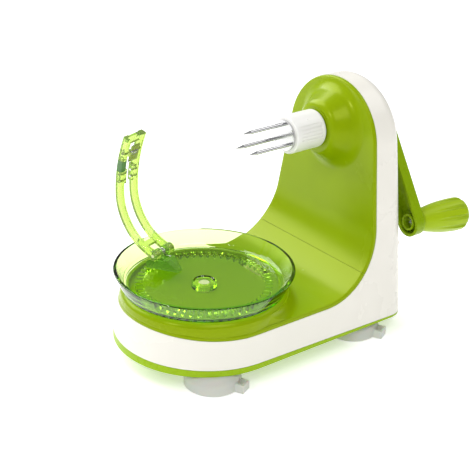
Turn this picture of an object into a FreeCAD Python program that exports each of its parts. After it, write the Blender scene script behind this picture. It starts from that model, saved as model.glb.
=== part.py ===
# Hand-cranked apple peeler: a drafted white case with green covers, a crank that turns
# the fruit fork, and a gear train that carries the peeling arm slowly round on its bowl.
# Millimetres. X runs from the bowl to the tower, Z is up and the feet stand on Z = 0. The
# pieces are drawn with the bowl's axis on Z, and placed at the end.
import FreeCAD, Part
import math
import os
import re
import Sketcher

Vector = FreeCAD.Vector
Rotation = FreeCAD.Rotation
Placement = FreeCAD.Placement

doc = FreeCAD.newDocument("apple_peeler")
sheet = doc.addObject("Spreadsheet::Sheet", "Sizes")

driving_sizes = {
    # case
    "case_half_width": 61.0,
    "case_back": 133.0,
    "case_round": 10.5,
    "corner_round": 16.0,
    "case_wall": 2.5,
    "arch_radius": 43.0,
    "arch_drop": 10.5,
    "cover_wall": 2.5,
    "cover_inset": 0.4,
    "cover_round": 1.2,
    "deck_drop": 12.58,
    "sweep_radius": 43.7,
    "tower_depth": 29.6,
    "face_lean": 3.0,
    "seam_angle": 43.0,
    "seam_gap": 0.2,
    "lip_rise": 4.0,
    # bottom plate and feet
    "foot_height": 12.0,
    "foot_radius": 18.8,
    "foot_front": -23.0,
    "foot_rear": 98.0,
    "foot_side": 41.0,
    "tab_width": 9.0,
    "plate_rim": 3.9,
    "parting_fall": 1.05,
    "parting_gap": 0.4,
    "plate_wall": 2.2,
    # pedestal under the bowl
    "pedestal_radius": 56.2,
    "shoulder_round": 5.5,
    "flare_round": 7.0,
    "recess_radius": 50.0,
    "recess_depth": 3.9,
    # bowl
    "bowl_radius": 60.0,
    "bowl_foot_radius": 53.4,
    "bowl_height": 10.4,
    "bowl_floor": 49.88,
    "bowl_wall": 2.2,
    "bowl_corner": 3.0,
    "dimple_radius": 6.5,
    "pivot_radius": 4.0,
    "pivot_flange": 7.5,
    "running_gap": 0.3,
    # gears
    "gear_module": 1.25,
    "crown_module": 1.6,
    "pressure_angle": 25.0,
    "backlash": 0.2,
    "pinion_teeth": 12,
    "wheel_teeth": 36,
    "idler_teeth": 21,
    "lower_teeth": 21,
    "crown_pinion_teeth": 18,
    "crown_teeth": 54,
    "gear_width": 3.8,
    "gear_gap": 0.4,
    "gear_setback": 18.0,
    "crown_face": 4.4,
    "axle_radius": 2.0,
    "lower_shaft_radius": 2.5,
    "gear_plate_wall": 1.6,
    "gear_plate_half_width": 33.0,
    "shaft_fit": 0.05,
    # spindle, hub and fork
    "spindle_radius": 4.0,
    "hub_radius": 13.0,
    "hub_length": 25.5,
    "hub_gap": 0.5,
    "grip_grooves": 5,
    "grip_pitch": 10.0,
    "boss_rise": 12.2,
    "boss_lip": 13.8,
    "boss_round": 6.0,
    "boss_slope": 58.0,
    "boss_flare": 10.0,
    "bush_wall": 2.4,
    "prong_radius": 1.2,
    "prong_circle": 8.0,
    "prong_length": 34.0,
    # crank
    "crank_throw": 81.0,
    "crank_angle": 34.5,
    "crank_hub_radius": 13.6,
    "crank_end_radius": 9.4,
    "crank_clear": 7.5,
    "crank_depth": 8.5,
    "crank_wall": 2.0,
    "crank_web": 2.5,
    "knob_splay": 6.2,
    "knob_neck": 7.4,
    "knob_swell": 11.9,
    "knob_length": 42.5,
    "knob_pad": 0.8,
    "knob_flutes": 10,
    "knob_axle_radius": 2.5,
    # peeling arm
    "arm_azimuth": 106.5,
    "hinge_reach": 36.0,
    "hinge_rise": 10.1,
    "hinge_pin_radius": 1.2,
    "leg_width": 4.9,
    "leg_depth": 4.8,
    "leg_gap": 9.4,
    "leg_round": 1.0,
    "upper_bend": 110.0,
    "elbow_reach": 66.0,
    "elbow_rise": 48.1,
    "head_start": 8.2,
    "insert_end": 12.4,
    "head_end": 21.5,
    "blade_angle": 15.1,
    "blade_offset": 3.4,
    "blade_height": 12.0,
    "blade_wall": 0.8,
    "spring_wire": 0.8,
    "spring_coil": 2.5,
    "spring_pitch": 1.4,
}

for row, (size_name, size_value) in enumerate(driving_sizes.items(), start=1):
    sheet.set("A%d" % row, size_name)
    sheet.set("B%d" % row, str(size_value))
    sheet.setAlias("B%d" % row, size_name)
doc.recompute()


class SheetValues:
    """Reads a driving size from the sheet by its name."""

    def __getattr__(self, name):
        return float(sheet.get(name))


S = SheetValues()


def bound(expression):
    """The expression with every size name pointed at the sheet."""
    names = sorted(driving_sizes, key=len, reverse=True)
    pattern = r"\b(" + "|".join(names) + r")\b"
    return re.sub(pattern, r"Sizes.\1", str(expression))


def number(expression):
    """The present value of an expression on the sheet's sizes."""
    return float(sheet.evalExpression(bound(expression)))


def bind(thing, prop, expression):
    """Ties one property of an object to the sheet."""
    thing.setExpression(prop, bound(expression))


# Gear train heights. The crown teeth hang under the bowl's floor, the crown pinion sits
# under them, and the train climbs from its shaft to the spindle.
addendum_share = 0.8
dedendum_share = 1.05


def pitch_radius(teeth, module):
    return teeth * module / 2


floor_under = S.bowl_floor - S.bowl_wall
crown_pitch_height = floor_under - dedendum_share * S.crown_module
lower_height = crown_pitch_height - pitch_radius(S.crown_pinion_teeth, S.crown_module)
idler_height = lower_height + pitch_radius(S.lower_teeth + S.idler_teeth, S.gear_module)
second_height = idler_height + pitch_radius(S.idler_teeth + S.pinion_teeth, S.gear_module)
first_height = second_height + pitch_radius(S.wheel_teeth + S.pinion_teeth, S.gear_module)
spindle_height = first_height + pitch_radius(S.wheel_teeth + S.pinion_teeth, S.gear_module)
crown_radius = pitch_radius(S.crown_teeth, S.crown_module)

# Along X, all that the tower carries is set out from the case's back.
layer_step = S.gear_width + S.gear_gap
gear_front_first = S.case_back - S.gear_setback
gear_front_second = gear_front_first + layer_step
gear_front_third = gear_front_second + layer_step
gear_rear = gear_front_third + S.gear_width
plate_front = gear_front_first - S.gear_gap - S.gear_plate_wall
back_inside = S.case_back - S.case_wall
face_reach = S.case_back - S.tower_depth
boss_front = face_reach - S.boss_rise
hub_rear = boss_front - S.hub_gap
hub_front = hub_rear - S.hub_length
crank_front = S.case_back + S.crank_clear
crank_rear = crank_front + S.crank_depth

# Case form: walls that lean in by one angle from the bottom plate to the arch.
arch_height = spindle_height - S.arch_drop
plate_base = S.foot_height
shell_base = plate_base + S.plate_rim
deck_height = S.bowl_floor - S.deck_drop
arch_rise = arch_height - plate_base
wall_lean = math.atan2(S.case_half_width, arch_rise) - math.asin(
    S.arch_radius / math.hypot(S.case_half_width, arch_rise))
lip_bend = (S.case_half_width ** 2 + S.lip_rise ** 2) / (2 * S.lip_rise)
sweep_centre = (face_reach - S.sweep_radius, deck_height + S.sweep_radius)
face_lean = math.radians(S.face_lean)
seam_angle = math.radians(S.seam_angle)


def arch_start(inset=0.0):
    """The height at which the case's sides pass into its arch."""
    return arch_height + (S.arch_radius - inset) * math.sin(wall_lean)


def back_round(height, inset):
    """The rounding of the case's back edge, wide at the plate and narrow at the arch."""
    share = (height - plate_base) / (arch_start(inset) - plate_base)
    outside = S.corner_round + (S.case_round - S.corner_round) * min(share, 1.0)
    return outside - inset


def parting_height(place_x):
    """The height of the line on which the case meets its plate. It falls to the back."""
    return plate_base + S.plate_rim - place_x * math.tan(math.radians(S.parting_fall))


def half_width(height, inset=0.0):
    """Half the case's width at a height, less an inset square to its wall."""
    return (S.case_half_width - (height - plate_base) * math.tan(wall_lean)
            - inset / math.cos(wall_lean))


def face_at(height, drop=0.0):
    """X of the tower's face at a height, less a drop square to it."""
    start_x = sweep_centre[0] + S.sweep_radius * math.cos(face_lean)
    start_z = sweep_centre[1] - S.sweep_radius * math.sin(face_lean)
    return start_x + (height - start_z) * math.tan(face_lean) + drop / math.cos(face_lean)


# Document helpers
def new_body(name):
    body = doc.addObject("PartDesign::Body", name)
    body.Label = name
    return body


def plane_of(body, role):
    for feature in body.Origin.OriginFeatures:
        if feature.Role == role:
            return feature
    raise RuntimeError("no plane " + role)


def ends_of(vertex):
    """The first and the last point of the edge that leads to a vertex, as the sketcher
    counts them: an arc always runs to the left."""
    if len(vertex) == 4 and vertex[3] == "right":
        return (2, 1)
    return (1, 2)


def draw(sketch, vertices):
    """Draws a closed outline. A vertex is (x, y) or (x, y, radius, turn), where the arc
    of that radius leads to the vertex from the one before it. Text values are
    expressions on the sheet, and each of them becomes a constraint bound to it."""
    places = []
    for vertex in vertices:
        places.append(Vector(number(vertex[0]), number(vertex[1]), 0))
    count = len(vertices)
    for index in range(count):
        start = places[index - 1]
        end = places[index]
        if len(vertices[index]) == 4:
            radius = number(vertices[index][2])
            turn = vertices[index][3]
            chord = end - start
            across = Vector(-chord.y, chord.x, 0).normalize()
            reach = math.sqrt(max(radius ** 2 - (chord.Length / 2) ** 2, 0))
            side = 1 if turn == "left" else -1
            centre = (start + end) * 0.5 + across * (reach * side)
            bulge = centre - across * (radius * side)
            sketch.addGeometry(Part.Arc(start, bulge, end))
        else:
            sketch.addGeometry(Part.LineSegment(start, end))
    for index in range(count):
        follower = (index + 1) % count
        end_point = ends_of(vertices[index])[1]
        start_point = ends_of(vertices[follower])[0]
        sketch.addConstraint(
            Sketcher.Constraint("Coincident", index, end_point, follower, start_point))
        for kind, axis, value in (("DistanceX", -2, vertices[index][0]),
                                  ("DistanceY", -1, vertices[index][1])):
            if abs(number(value)) < 1e-9:
                sketch.addConstraint(
                    Sketcher.Constraint("PointOnObject", index, end_point, axis))
                continue
            label = "%s_%d" % (kind.lower(), index)
            constraint = sketch.addConstraint(
                Sketcher.Constraint(kind, -1, 1, index, end_point, number(value)))
            sketch.renameConstraint(constraint, label)
            if isinstance(value, str):
                bind(sketch, "Constraints." + label, value)
        if len(vertices[index]) == 4:
            label = "radius_%d" % index
            constraint = sketch.addConstraint(
                Sketcher.Constraint("Radius", index, number(vertices[index][2])))
            sketch.renameConstraint(constraint, label)
            if isinstance(vertices[index][2], str):
                bind(sketch, "Constraints." + label, vertices[index][2])


def sketch_on(body, role, name, vertices, offset=None):
    sketch = body.newObject("Sketcher::SketchObject", name)
    sketch.AttachmentSupport = (plane_of(body, role), [""])
    sketch.MapMode = "FlatFace"
    if offset is not None:
        sketch.AttachmentOffset = Placement(Vector(0, 0, offset), Rotation())
    draw(sketch, vertices)
    return sketch


def revolve(body, sketch, axis, angle="360"):
    feature = body.newObject("PartDesign::Revolution", sketch.Name + "_turned")
    feature.Profile = sketch
    feature.ReferenceAxis = (sketch, [axis])
    bind(feature, "Angle", angle)
    body.Tip = feature
    return feature


def pad(body, sketch, length, symmetric=False, backwards=False):
    feature = body.newObject("PartDesign::Pad", sketch.Name + "_pad")
    feature.Profile = sketch
    bind(feature, "Length", length)
    if symmetric:
        feature.SideType = "Symmetric"
    feature.Reversed = backwards
    body.Tip = feature
    return feature


def pocket(body, sketch, length, symmetric=False, backwards=False):
    """Cuts a sketch into its body and makes sure that it took something away."""
    doc.recompute()
    before = body.Tip.Shape.Volume
    feature = body.newObject("PartDesign::Pocket", sketch.Name + "_cut")
    feature.Profile = sketch
    bind(feature, "Length", length)
    if symmetric:
        feature.SideType = "Symmetric"
    feature.Reversed = backwards
    body.Tip = feature
    doc.recompute()
    if feature.Shape.Volume > before - 1e-6:
        raise RuntimeError(sketch.Name + " cuts nothing")
    return feature


def fillet(body, radius, wanted):
    """Rounds the edges of a body's last feature that the test picks."""
    doc.recompute()
    base = body.Tip
    names = []
    for index, edge in enumerate(base.Shape.Edges, start=1):
        if wanted(edge):
            names.append("Edge%d" % index)
    feature = body.newObject("PartDesign::Fillet", base.Name + "_round")
    feature.Base = (base, names)
    bind(feature, "Radius", radius)
    body.Tip = feature
    return feature


def cylinder(name, radius, height, base, direction=Vector(0, 0, 1)):
    """A cylinder bound to the sheet; base is its centre at the start."""
    feature = doc.addObject("Part::Cylinder", name)
    bind(feature, "Radius", radius)
    bind(feature, "Height", height)
    feature.Placement = Placement(base, Rotation(Vector(0, 0, 1), direction))
    return feature


def box(name, low, high):
    feature = doc.addObject("Part::Box", name)
    feature.Length = high.x - low.x
    feature.Width = high.y - low.y
    feature.Height = high.z - low.z
    feature.Placement = Placement(low, Rotation())
    return feature


def cut(name, base, tools):
    if len(tools) > 1:
        tool = fuse(name + "_tools", tools)
    else:
        tool = tools[0]
    feature = doc.addObject("Part::Cut", name)
    feature.Base = base
    feature.Tool = tool
    feature.Refine = True
    return feature


def fuse(name, shapes):
    feature = doc.addObject("Part::MultiFuse", name)
    feature.Shapes = shapes
    feature.Refine = True
    return feature


def common(name, shapes):
    feature = doc.addObject("Part::MultiCommon", name)
    feature.Shapes = shapes
    return feature


def solid_feature(name, shape):
    feature = doc.addObject("Part::Feature", name)
    feature.Shape = shape
    return feature


nodes = {}


def keep(feature, name):
    """Names an object as one of the peeler's pieces."""
    feature.Label = name
    nodes[name] = feature
    return feature


# Case blanks
def case_blank(name, inset, low, high=None):
    """The case's drafted form, inset from its outside: a tower with an arched top, or a
    slab up to a height, joined to a round front about the bowl's axis."""
    body = new_body(name)
    low_half = half_width(low, inset)
    if high is None:
        radius = S.arch_radius - inset
        top_z = arch_start(inset)
        top_y = radius * math.cos(wall_lean)
        outline = [(-low_half, low), (low_half, low), (top_y, top_z),
                   (0, arch_height + radius, radius, "left"),
                   (-top_y, top_z, radius, "left")]
        front_top = deck_height + S.lip_rise + 2 * S.cover_wall
    else:
        outline = [(-low_half, low), (low_half, low),
                   (half_width(high, inset), high), (-half_width(high, inset), high)]
        front_top = high
    rear = sketch_on(body, "YZ_Plane", name + "_rear", outline)
    pad(body, rear, S.case_back - inset)
    cone = [(0, low), (low_half, low), (half_width(front_top, inset), front_top), (0, front_top)]
    front = sketch_on(body, "YZ_Plane", name + "_front", cone)
    revolve(body, front, "V_Axis", "180")
    doc.recompute()
    rounded = doc.addObject("Part::Fillet", name + "_rounded")
    rounded.Base = body
    back_edges = []
    for index, edge in enumerate(body.Shape.Edges, start=1):
        bounds = edge.BoundBox
        on_back = abs(bounds.XMin - S.case_back + inset) < 1e-4 and bounds.XLength < 1e-4
        if on_back and bounds.ZLength > 1e-4:
            first = edge.valueAt(edge.FirstParameter).z
            last = edge.valueAt(edge.LastParameter).z
            back_edges.append((index, back_round(first, inset), back_round(last, inset)))
    rounded.Edges = back_edges
    return rounded


def sweep_point(angle, drop):
    """A point of the sweep at an angle under level, dropped behind its face."""
    radius = S.sweep_radius + drop
    return (sweep_centre[0] + radius * math.cos(angle), sweep_centre[1] - radius * math.sin(angle))


far = 2 * S.case_half_width


def profile_front(drop):
    """The deck's front end, on the long bend that lifts the lip."""
    radius = lip_bend + drop
    return (-far / 2 - drop, deck_height + lip_bend - math.sqrt(radius ** 2 - (far / 2 + drop) ** 2))


def above_profile(name, drop):
    """All that lies above the deck, in front of the sweep and of the tower's face."""
    body = new_body(name)
    front_x, front_z = profile_front(drop)
    end_x, end_z = sweep_point(face_lean, drop)
    ceiling = arch_height + 2 * S.arch_radius
    outline = [
        (front_x, front_z),
        (0, deck_height - drop, lip_bend + drop, "left"),
        (sweep_centre[0], deck_height - drop),
        (end_x, end_z, S.sweep_radius + drop, "left"),
        (face_at(ceiling, drop), ceiling),
        (front_x, ceiling),
    ]
    sketch = sketch_on(body, "XZ_Plane", name + "_side", outline)
    pad(body, sketch, 2 * far, symmetric=True)
    return body


def parting_side(name, end_height, drop=0.0):
    """All that lies between the case's parting line, lowered by a drop, and a level."""
    body = new_body(name)
    sketch = sketch_on(body, "XZ_Plane", name + "_side", [
        (-far, parting_height(-far) - drop),
        (2 * far, parting_height(2 * far) - drop),
        (2 * far, end_height),
        (-far, end_height),
    ])
    pad(body, sketch, 2 * far, symmetric=True)
    return body


def cover_layer(name, first, last):
    """A bent sheet of the cover's thickness between two angles of the sweep. None runs it
    to the lip or to the tower's top."""
    body = new_body(name)
    wall = S.cover_wall
    if first is None:
        front_x, front_z = profile_front(0)
        back_x, back_z = profile_front(wall)
        seam_x, seam_z = sweep_point(last, 0)
        under_x, under_z = sweep_point(last, wall)
        outline = [
            (front_x, front_z),
            (0, deck_height, lip_bend, "left"),
            (sweep_centre[0], deck_height),
            (seam_x, seam_z, S.sweep_radius, "left"),
            (under_x, under_z),
            (sweep_centre[0], deck_height - wall, S.sweep_radius + wall, "right"),
            (0, deck_height - wall),
            (back_x, back_z, lip_bend + wall, "right"),
        ]
    else:
        ceiling = arch_height + S.arch_radius + wall
        seam_x, seam_z = sweep_point(first, 0)
        under_x, under_z = sweep_point(first, wall)
        end_x, end_z = sweep_point(face_lean, 0)
        inner_x, inner_z = sweep_point(face_lean, wall)
        outline = [
            (seam_x, seam_z),
            (end_x, end_z, S.sweep_radius, "left"),
            (face_at(ceiling), ceiling),
            (face_at(ceiling, wall), ceiling),
            (inner_x, inner_z),
            (under_x, under_z, S.sweep_radius + wall, "right"),
        ]
    sketch = sketch_on(body, "XZ_Plane", name + "_side", outline)
    pad(body, sketch, 2 * far, symmetric=True)
    return body


def turned_about_spindle(name, vertices):
    """A ring about the spindle; vertices are X and distance from its axis."""
    body = new_body(name)
    sketch = sketch_on(body, "XZ_Plane", name + "_half", vertices)
    revolve(body, sketch, "H_Axis")
    body.Placement = Placement(Vector(0, 0, spindle_height), Rotation())
    return body


def rod_along_x(name, radius, start, end, y_place, z_place):
    feature = cylinder(name, radius, end - start, Vector(start, y_place, z_place), Vector(1, 0, 0))
    return feature


# White case shell
screw_radius = 1.5
screw_head_radius = 3.0
screw_head_height = 1.6
post_radius = 4.0
upper_screw_drop = 33.0
lower_screw_drop = 68.0
screw_from_wall = 10.5
rear_screw_places = []
for screw_drop in (upper_screw_drop, lower_screw_drop):
    screw_height = arch_height - screw_drop
    rear_screw_places.append((half_width(screw_height) - screw_from_wall, screw_height))
plate_screw_side = S.gear_plate_half_width - 4.0
plate_screw_places = [(plate_screw_side, spindle_height + 3.25),
                      (plate_screw_side, second_height - 10.75)]
bush_outer = S.spindle_radius + S.shaft_fit + S.bush_wall
lower_bush_outer = S.lower_shaft_radius + S.shaft_fit + 1.6
bearing_boss_front = gear_rear + S.gear_gap
head_recess = 1.8
rear_seat_depth = 6.5
rear_screw_length = 14.0

shell_low = parting_height(S.case_back) - 0.5
shell_blank = case_blank("shell_blank", 0.0, shell_low)
under_covers = above_profile("under_covers", S.cover_wall)
shell_void = case_blank("shell_void", S.case_wall, shell_low - 1.0)
under_parting = parting_side("under_parting", -far)
shell_skirt = cut("shell_skirt", shell_blank, [under_covers, shell_void, under_parting])
shell_bosses = [shell_skirt]
shell_holes = []
shell_bosses.append(rod_along_x("spindle_boss", bush_outer + 2.5, bearing_boss_front,
                                back_inside + 1.0, 0, spindle_height))
shell_holes.append(rod_along_x("spindle_bore", bush_outer, bearing_boss_front - 1.0,
                               S.case_back + 1.0, 0, spindle_height))
shell_bosses.append(rod_along_x("lower_boss", lower_bush_outer + 2.0, bearing_boss_front,
                                back_inside + 1.0, 0, lower_height))
shell_holes.append(rod_along_x("lower_bore", lower_bush_outer, bearing_boss_front - 1.0,
                               back_inside, 0, lower_height))
axle_boss_radius = S.axle_radius + 2.0
axle_boss_fronts = (gear_front_second + layer_step, bearing_boss_front, bearing_boss_front)
axle_heights = (first_height, second_height, idler_height)
for index, height in enumerate(axle_heights):
    shell_bosses.append(rod_along_x("axle_boss_%d" % index, axle_boss_radius,
                                    axle_boss_fronts[index], back_inside + 1.0, 0, height))
    shell_holes.append(rod_along_x("axle_socket_%d" % index, S.axle_radius,
                                   axle_boss_fronts[index] - 1.0, back_inside + 1.0, 0,
                                   height))
for index, (side, height) in enumerate(plate_screw_places):
    for hand in (-1, 1):
        tag = "%d_%s" % (index, "near" if hand < 0 else "far")
        shell_bosses.append(rod_along_x("plate_post_" + tag, post_radius,
                                        plate_front + S.gear_plate_wall, back_inside + 1.0,
                                        hand * side, height))
        shell_holes.append(rod_along_x("plate_post_hole_" + tag, screw_radius,
                                       plate_front, plate_front + 10.0, hand * side, height))
for index, (side, height) in enumerate(rear_screw_places):
    for hand in (-1, 1):
        tag = "%d_%s" % (index, "near" if hand < 0 else "far")
        shell_bosses.append(rod_along_x("rear_seat_" + tag, screw_head_radius + 1.8,
                                        back_inside - rear_seat_depth, back_inside + 1.0,
                                        hand * side, height))
        shell_holes.append(rod_along_x("rear_hole_" + tag, screw_radius + 0.1,
                                       back_inside - rear_seat_depth - 1.0,
                                       S.case_back + 1.0,
                                       hand * side, height))
        shell_holes.append(rod_along_x("rear_head_hole_" + tag, screw_head_radius + 0.4,
                                       S.case_back - head_recess, S.case_back + 1.0,
                                       hand * side, height))
shell_solid = fuse("shell_solid", shell_bosses)
keep(cut("white_shell", shell_solid, shell_holes), "white_shell")

# Lower green cover: deck, pedestal ring and the foot of the sweep
def off_outline(place, inset):
    """How far a point lies outside the case's outline, with its inset."""
    if place.x < 0:
        return math.hypot(place.x, place.y) - half_width(place.z, inset)
    if place.z > arch_start(inset):
        return math.hypot(place.y, place.z - arch_height) - (S.arch_radius - inset)
    return abs(place.y) - half_width(place.z, inset)


def off_profile(place):
    """How far a point lies in front of the deck, the sweep and the tower's face."""
    if place.z > sweep_point(face_lean, 0)[1]:
        return face_at(place.z) - place.x
    if place.x > sweep_centre[0]:
        return S.sweep_radius - math.hypot(place.x - sweep_centre[0],
                                           place.z - sweep_centre[1])
    if place.x > 0:
        return place.z - deck_height
    bend_drop = lip_bend - math.sqrt(lip_bend ** 2 - place.x ** 2)
    return place.z - deck_height - bend_drop


def on_rim(edge):
    """Whether an edge runs along a cover's outer rim."""
    for share in (0.1, 0.5, 0.9):
        place = edge.valueAt(edge.FirstParameter
                             + (edge.LastParameter - edge.FirstParameter) * share)
        if abs(off_outline(place, S.cover_inset)) > 0.1 or abs(off_profile(place)) > 0.1:
            return False
    return True


def rounded_rim(name, base):
    """Rolls the outer rim of a cover."""
    doc.recompute()
    feature = doc.addObject("Part::Fillet", name)
    feature.Base = base
    picked = []
    for index, edge in enumerate(base.Shape.Edges, start=1):
        if on_rim(edge):
            picked.append((index, S.cover_round, S.cover_round))
    feature.Edges = picked
    return feature


deck_blank = case_blank("deck_blank", S.cover_inset, shell_base)
seam_half = S.seam_gap / 2 / S.sweep_radius
deck_sheet = rounded_rim("deck_sheet_rim", common("deck_outlined", [
    deck_blank, cover_layer("deck_sheet", None, seam_angle + seam_half)]))
pedestal_top = floor_under - S.running_gap - 0.08
recess_floor = pedestal_top - S.recess_depth
recess_under = recess_floor - S.cover_wall
deck_under = deck_height - S.cover_wall
wall_inside = S.pedestal_radius - S.cover_wall
pedestal_body = new_body("pedestal_ring")
pedestal_outline = [
    (0, recess_under),
    (wall_inside, recess_under),
    (wall_inside, deck_under),
    (S.pedestal_radius, deck_under),
    (S.pedestal_radius, pedestal_top - S.shoulder_round),
    (S.pedestal_radius - S.shoulder_round, pedestal_top, S.shoulder_round, "left"),
    (S.recess_radius, pedestal_top),
    (S.recess_radius, recess_floor),
    (0, recess_floor),
]
pedestal_sketch = sketch_on(pedestal_body, "XZ_Plane", "pedestal_half", pedestal_outline)
revolve(pedestal_body, pedestal_sketch, "V_Axis")
deck_hole = cylinder("deck_hole", wall_inside, S.cover_wall + S.lip_rise + 2.0,
                     Vector(0, 0, deck_under - 1.0))
deck_open = cut("deck_open", deck_sheet, [deck_hole])
flare_body = new_body("pedestal_flare")
flare_foot = S.pedestal_radius + S.flare_round
flare_sketch = sketch_on(flare_body, "XZ_Plane", "flare_half", [
    (S.pedestal_radius - 1.0, deck_under),
    (flare_foot, deck_under),
    (flare_foot, deck_height),
    (S.pedestal_radius, deck_height + S.flare_round, S.flare_round, "right"),
    (S.pedestal_radius - 1.0, deck_height + S.flare_round),
])
revolve(flare_body, flare_sketch, "V_Axis")
flare_blank = case_blank("flare_blank", S.cover_inset + S.cover_round, shell_base)
pedestal = fuse("pedestal", [
    common("pedestal_outlined", [deck_blank, pedestal_body]),
    common("flare_outlined", [flare_blank, flare_body])])
deck_trimmed = fuse("deck_trimmed", [deck_open, pedestal])
plate_top = plate_base + S.plate_wall
base_posts = [
    (0.0, S.case_half_width - 12.0, recess_under + 1.0),
    (66.0, S.case_half_width - 17.0, deck_height - 0.8),
]
deck_parts = [deck_trimmed]
deck_cuts = []
for index, (place_x, place_y, top_z) in enumerate(base_posts):
    for hand in (-1, 1):
        tag = "%d_%s" % (index, "near" if hand < 0 else "far")
        deck_parts.append(cylinder("deck_post_" + tag, post_radius, top_z - plate_top,
                                   Vector(place_x, hand * place_y, plate_top)))
        deck_cuts.append(cylinder("deck_post_hole_" + tag, screw_radius, 12.0,
                                  Vector(place_x, hand * place_y, plate_top - 1.0)))
crown_tip_radius = pitch_radius(S.crown_pinion_teeth, S.crown_module) + (
    addendum_share * S.crown_module)
pinion_front = crown_radius - S.crown_face / 2
slot_half = math.sqrt(crown_tip_radius ** 2 - (recess_under - lower_height) ** 2) + 0.8
deck_cuts.append(box("pinion_slot", Vector(pinion_front - 0.8, -slot_half, recess_under - 1.0),
                     Vector(pinion_front + S.crown_face + 0.8, slot_half, recess_floor + 1.0)))
pivot_stem_radius = 2.5
deck_cuts.append(cylinder("pivot_hole", pivot_stem_radius, S.cover_wall + 2.0,
                          Vector(0, 0, recess_under - 1.0)))
deck_cuts.append(shell_skirt)
deck_solid = fuse("deck_solid", deck_parts)
keep(cut("base_cover", deck_solid, deck_cuts), "base_cover")

# Upper green cover with the boss that comes forward round the spindle
face_blank = case_blank("face_blank", S.cover_inset, shell_base)
face_sheet = cover_layer("face_sheet", seam_angle - seam_half, 0)
slope = math.radians(S.boss_slope)
rim_x = face_at(spindle_height)
boss_depth = (rim_x - boss_front) * math.cos(face_lean)
round_end = (S.boss_round * (1 - math.cos(slope)), S.boss_lip + S.boss_round * math.sin(slope))
foot_slope = math.radians(5)
flare_run = S.boss_flare * (math.cos(foot_slope) - math.cos(slope))
flare_width = S.boss_flare * (math.sin(slope) - math.sin(foot_slope))
cone_run = boss_depth - round_end[0] - flare_run
cone_end = (round_end[0] + cone_run, round_end[1] + cone_run / math.tan(slope))
flare_end = (boss_depth, cone_end[1] + flare_width)
flare_depth = S.cover_wall - 0.3
flare_far = (boss_depth + flare_depth, flare_end[1] + flare_depth / math.tan(foot_slope))
lip_start = -2 * S.boss_lip * math.sin(face_lean)
boss_back = face_at(spindle_height, S.cover_wall) + 0.6
bush_tube = bush_outer + 2.5


def turned_on_face(name, vertices):
    """A ring square to the tower's face; vertices are the way back from the middle of the
    boss's front, and the distance from the axis."""
    body = turned_about_spindle(name, vertices)
    body.Placement = Placement(Vector(boss_front, 0, spindle_height),
                               Rotation(Vector(0, 1, 0), S.face_lean))
    return body


boss_solid = turned_on_face("boss_solid", [
    (lip_start, 0),
    (lip_start, S.boss_lip),
    (0, S.boss_lip),
    (round_end[0], round_end[1], S.boss_round, "right"),
    cone_end,
    (flare_end[0], flare_end[1], S.boss_flare, "left"),
    flare_far,
    (flare_far[0], 0),
])
boss_trim = box("boss_trim", Vector(boss_front + 2 * lip_start, -S.arch_radius,
                                    spindle_height - S.arch_radius),
                Vector(boss_front, S.arch_radius, spindle_height + S.arch_radius))
boss_whole = cut("boss_whole", boss_solid, [boss_trim])
inner_x = S.cover_wall * math.cos(slope)
inner_r = S.cover_wall * math.sin(slope)
void_end = boss_depth + 2 * S.cover_wall
void_solid = turned_on_face("void_solid", [
    (S.cover_wall + 1.0, 0),
    (S.cover_wall + 1.0, S.boss_lip),
    (round_end[0] + inner_x, round_end[1] - inner_r),
    (cone_end[0] + inner_x, cone_end[1] - inner_r),
    (boss_depth + S.cover_wall + 0.4, flare_end[1] - 1.0),
    (void_end, flare_end[1] - 1.0),
    (void_end, 0),
])
void_core = rod_along_x("void_core", bush_tube, boss_front, boss_back + 2 * S.cover_wall, 0,
                        spindle_height)
boss_void = cut("boss_void", void_solid, [void_core])
bush_end = boss_back - 0.1
face_rim = rounded_rim("face_rim", common("face_outlined", [face_blank, face_sheet]))
boss_blank = case_blank("boss_blank", S.cover_inset + S.cover_round, shell_base)
boss_outlined = common("boss_outlined", [boss_blank, boss_whole])
face_trimmed = fuse("face_trimmed", [face_rim, boss_outlined])
behind_face = new_body("behind_face")
ceiling_height = arch_height + 2 * S.arch_radius
behind_outline = [
    sweep_point(face_lean, S.cover_wall),
    (face_at(ceiling_height, S.cover_wall), ceiling_height),
    (S.case_back, ceiling_height),
    (S.case_back, sweep_point(face_lean, S.cover_wall)[1]),
]
behind_side = sketch_on(behind_face, "XZ_Plane", "behind_side", behind_outline[::-1])
pad(behind_face, behind_side, 2 * far, symmetric=True)
face_open = cut("face_open", face_trimmed, [behind_face, boss_void])
face_posts = []
face_cuts = [rod_along_x("front_bore", bush_outer, boss_front - 1.0, boss_back + 5.0, 0,
                         spindle_height)]
for index, (side, height) in enumerate(rear_screw_places):
    for hand in (-1, 1):
        tag = "%d_%s" % (index, "near" if hand < 0 else "far")
        face_posts.append(rod_along_x("face_post_" + tag, post_radius, boss_front,
                                      back_inside - rear_seat_depth, hand * side,
                                      height))
        face_cuts.append(rod_along_x("face_post_hole_" + tag, screw_radius,
                                     back_inside - rear_screw_length, back_inside,
                                     hand * side, height))
under_skin = above_profile("under_skin", S.cover_wall / 2)
face_posts_cut = cut("face_posts", fuse("face_posts_whole", face_posts), [under_skin])
face_parts = [face_open, face_posts_cut]
face_solid = fuse("face_solid", face_parts)
keep(cut("tower_cover", face_solid, face_cuts), "tower_cover")

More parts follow.
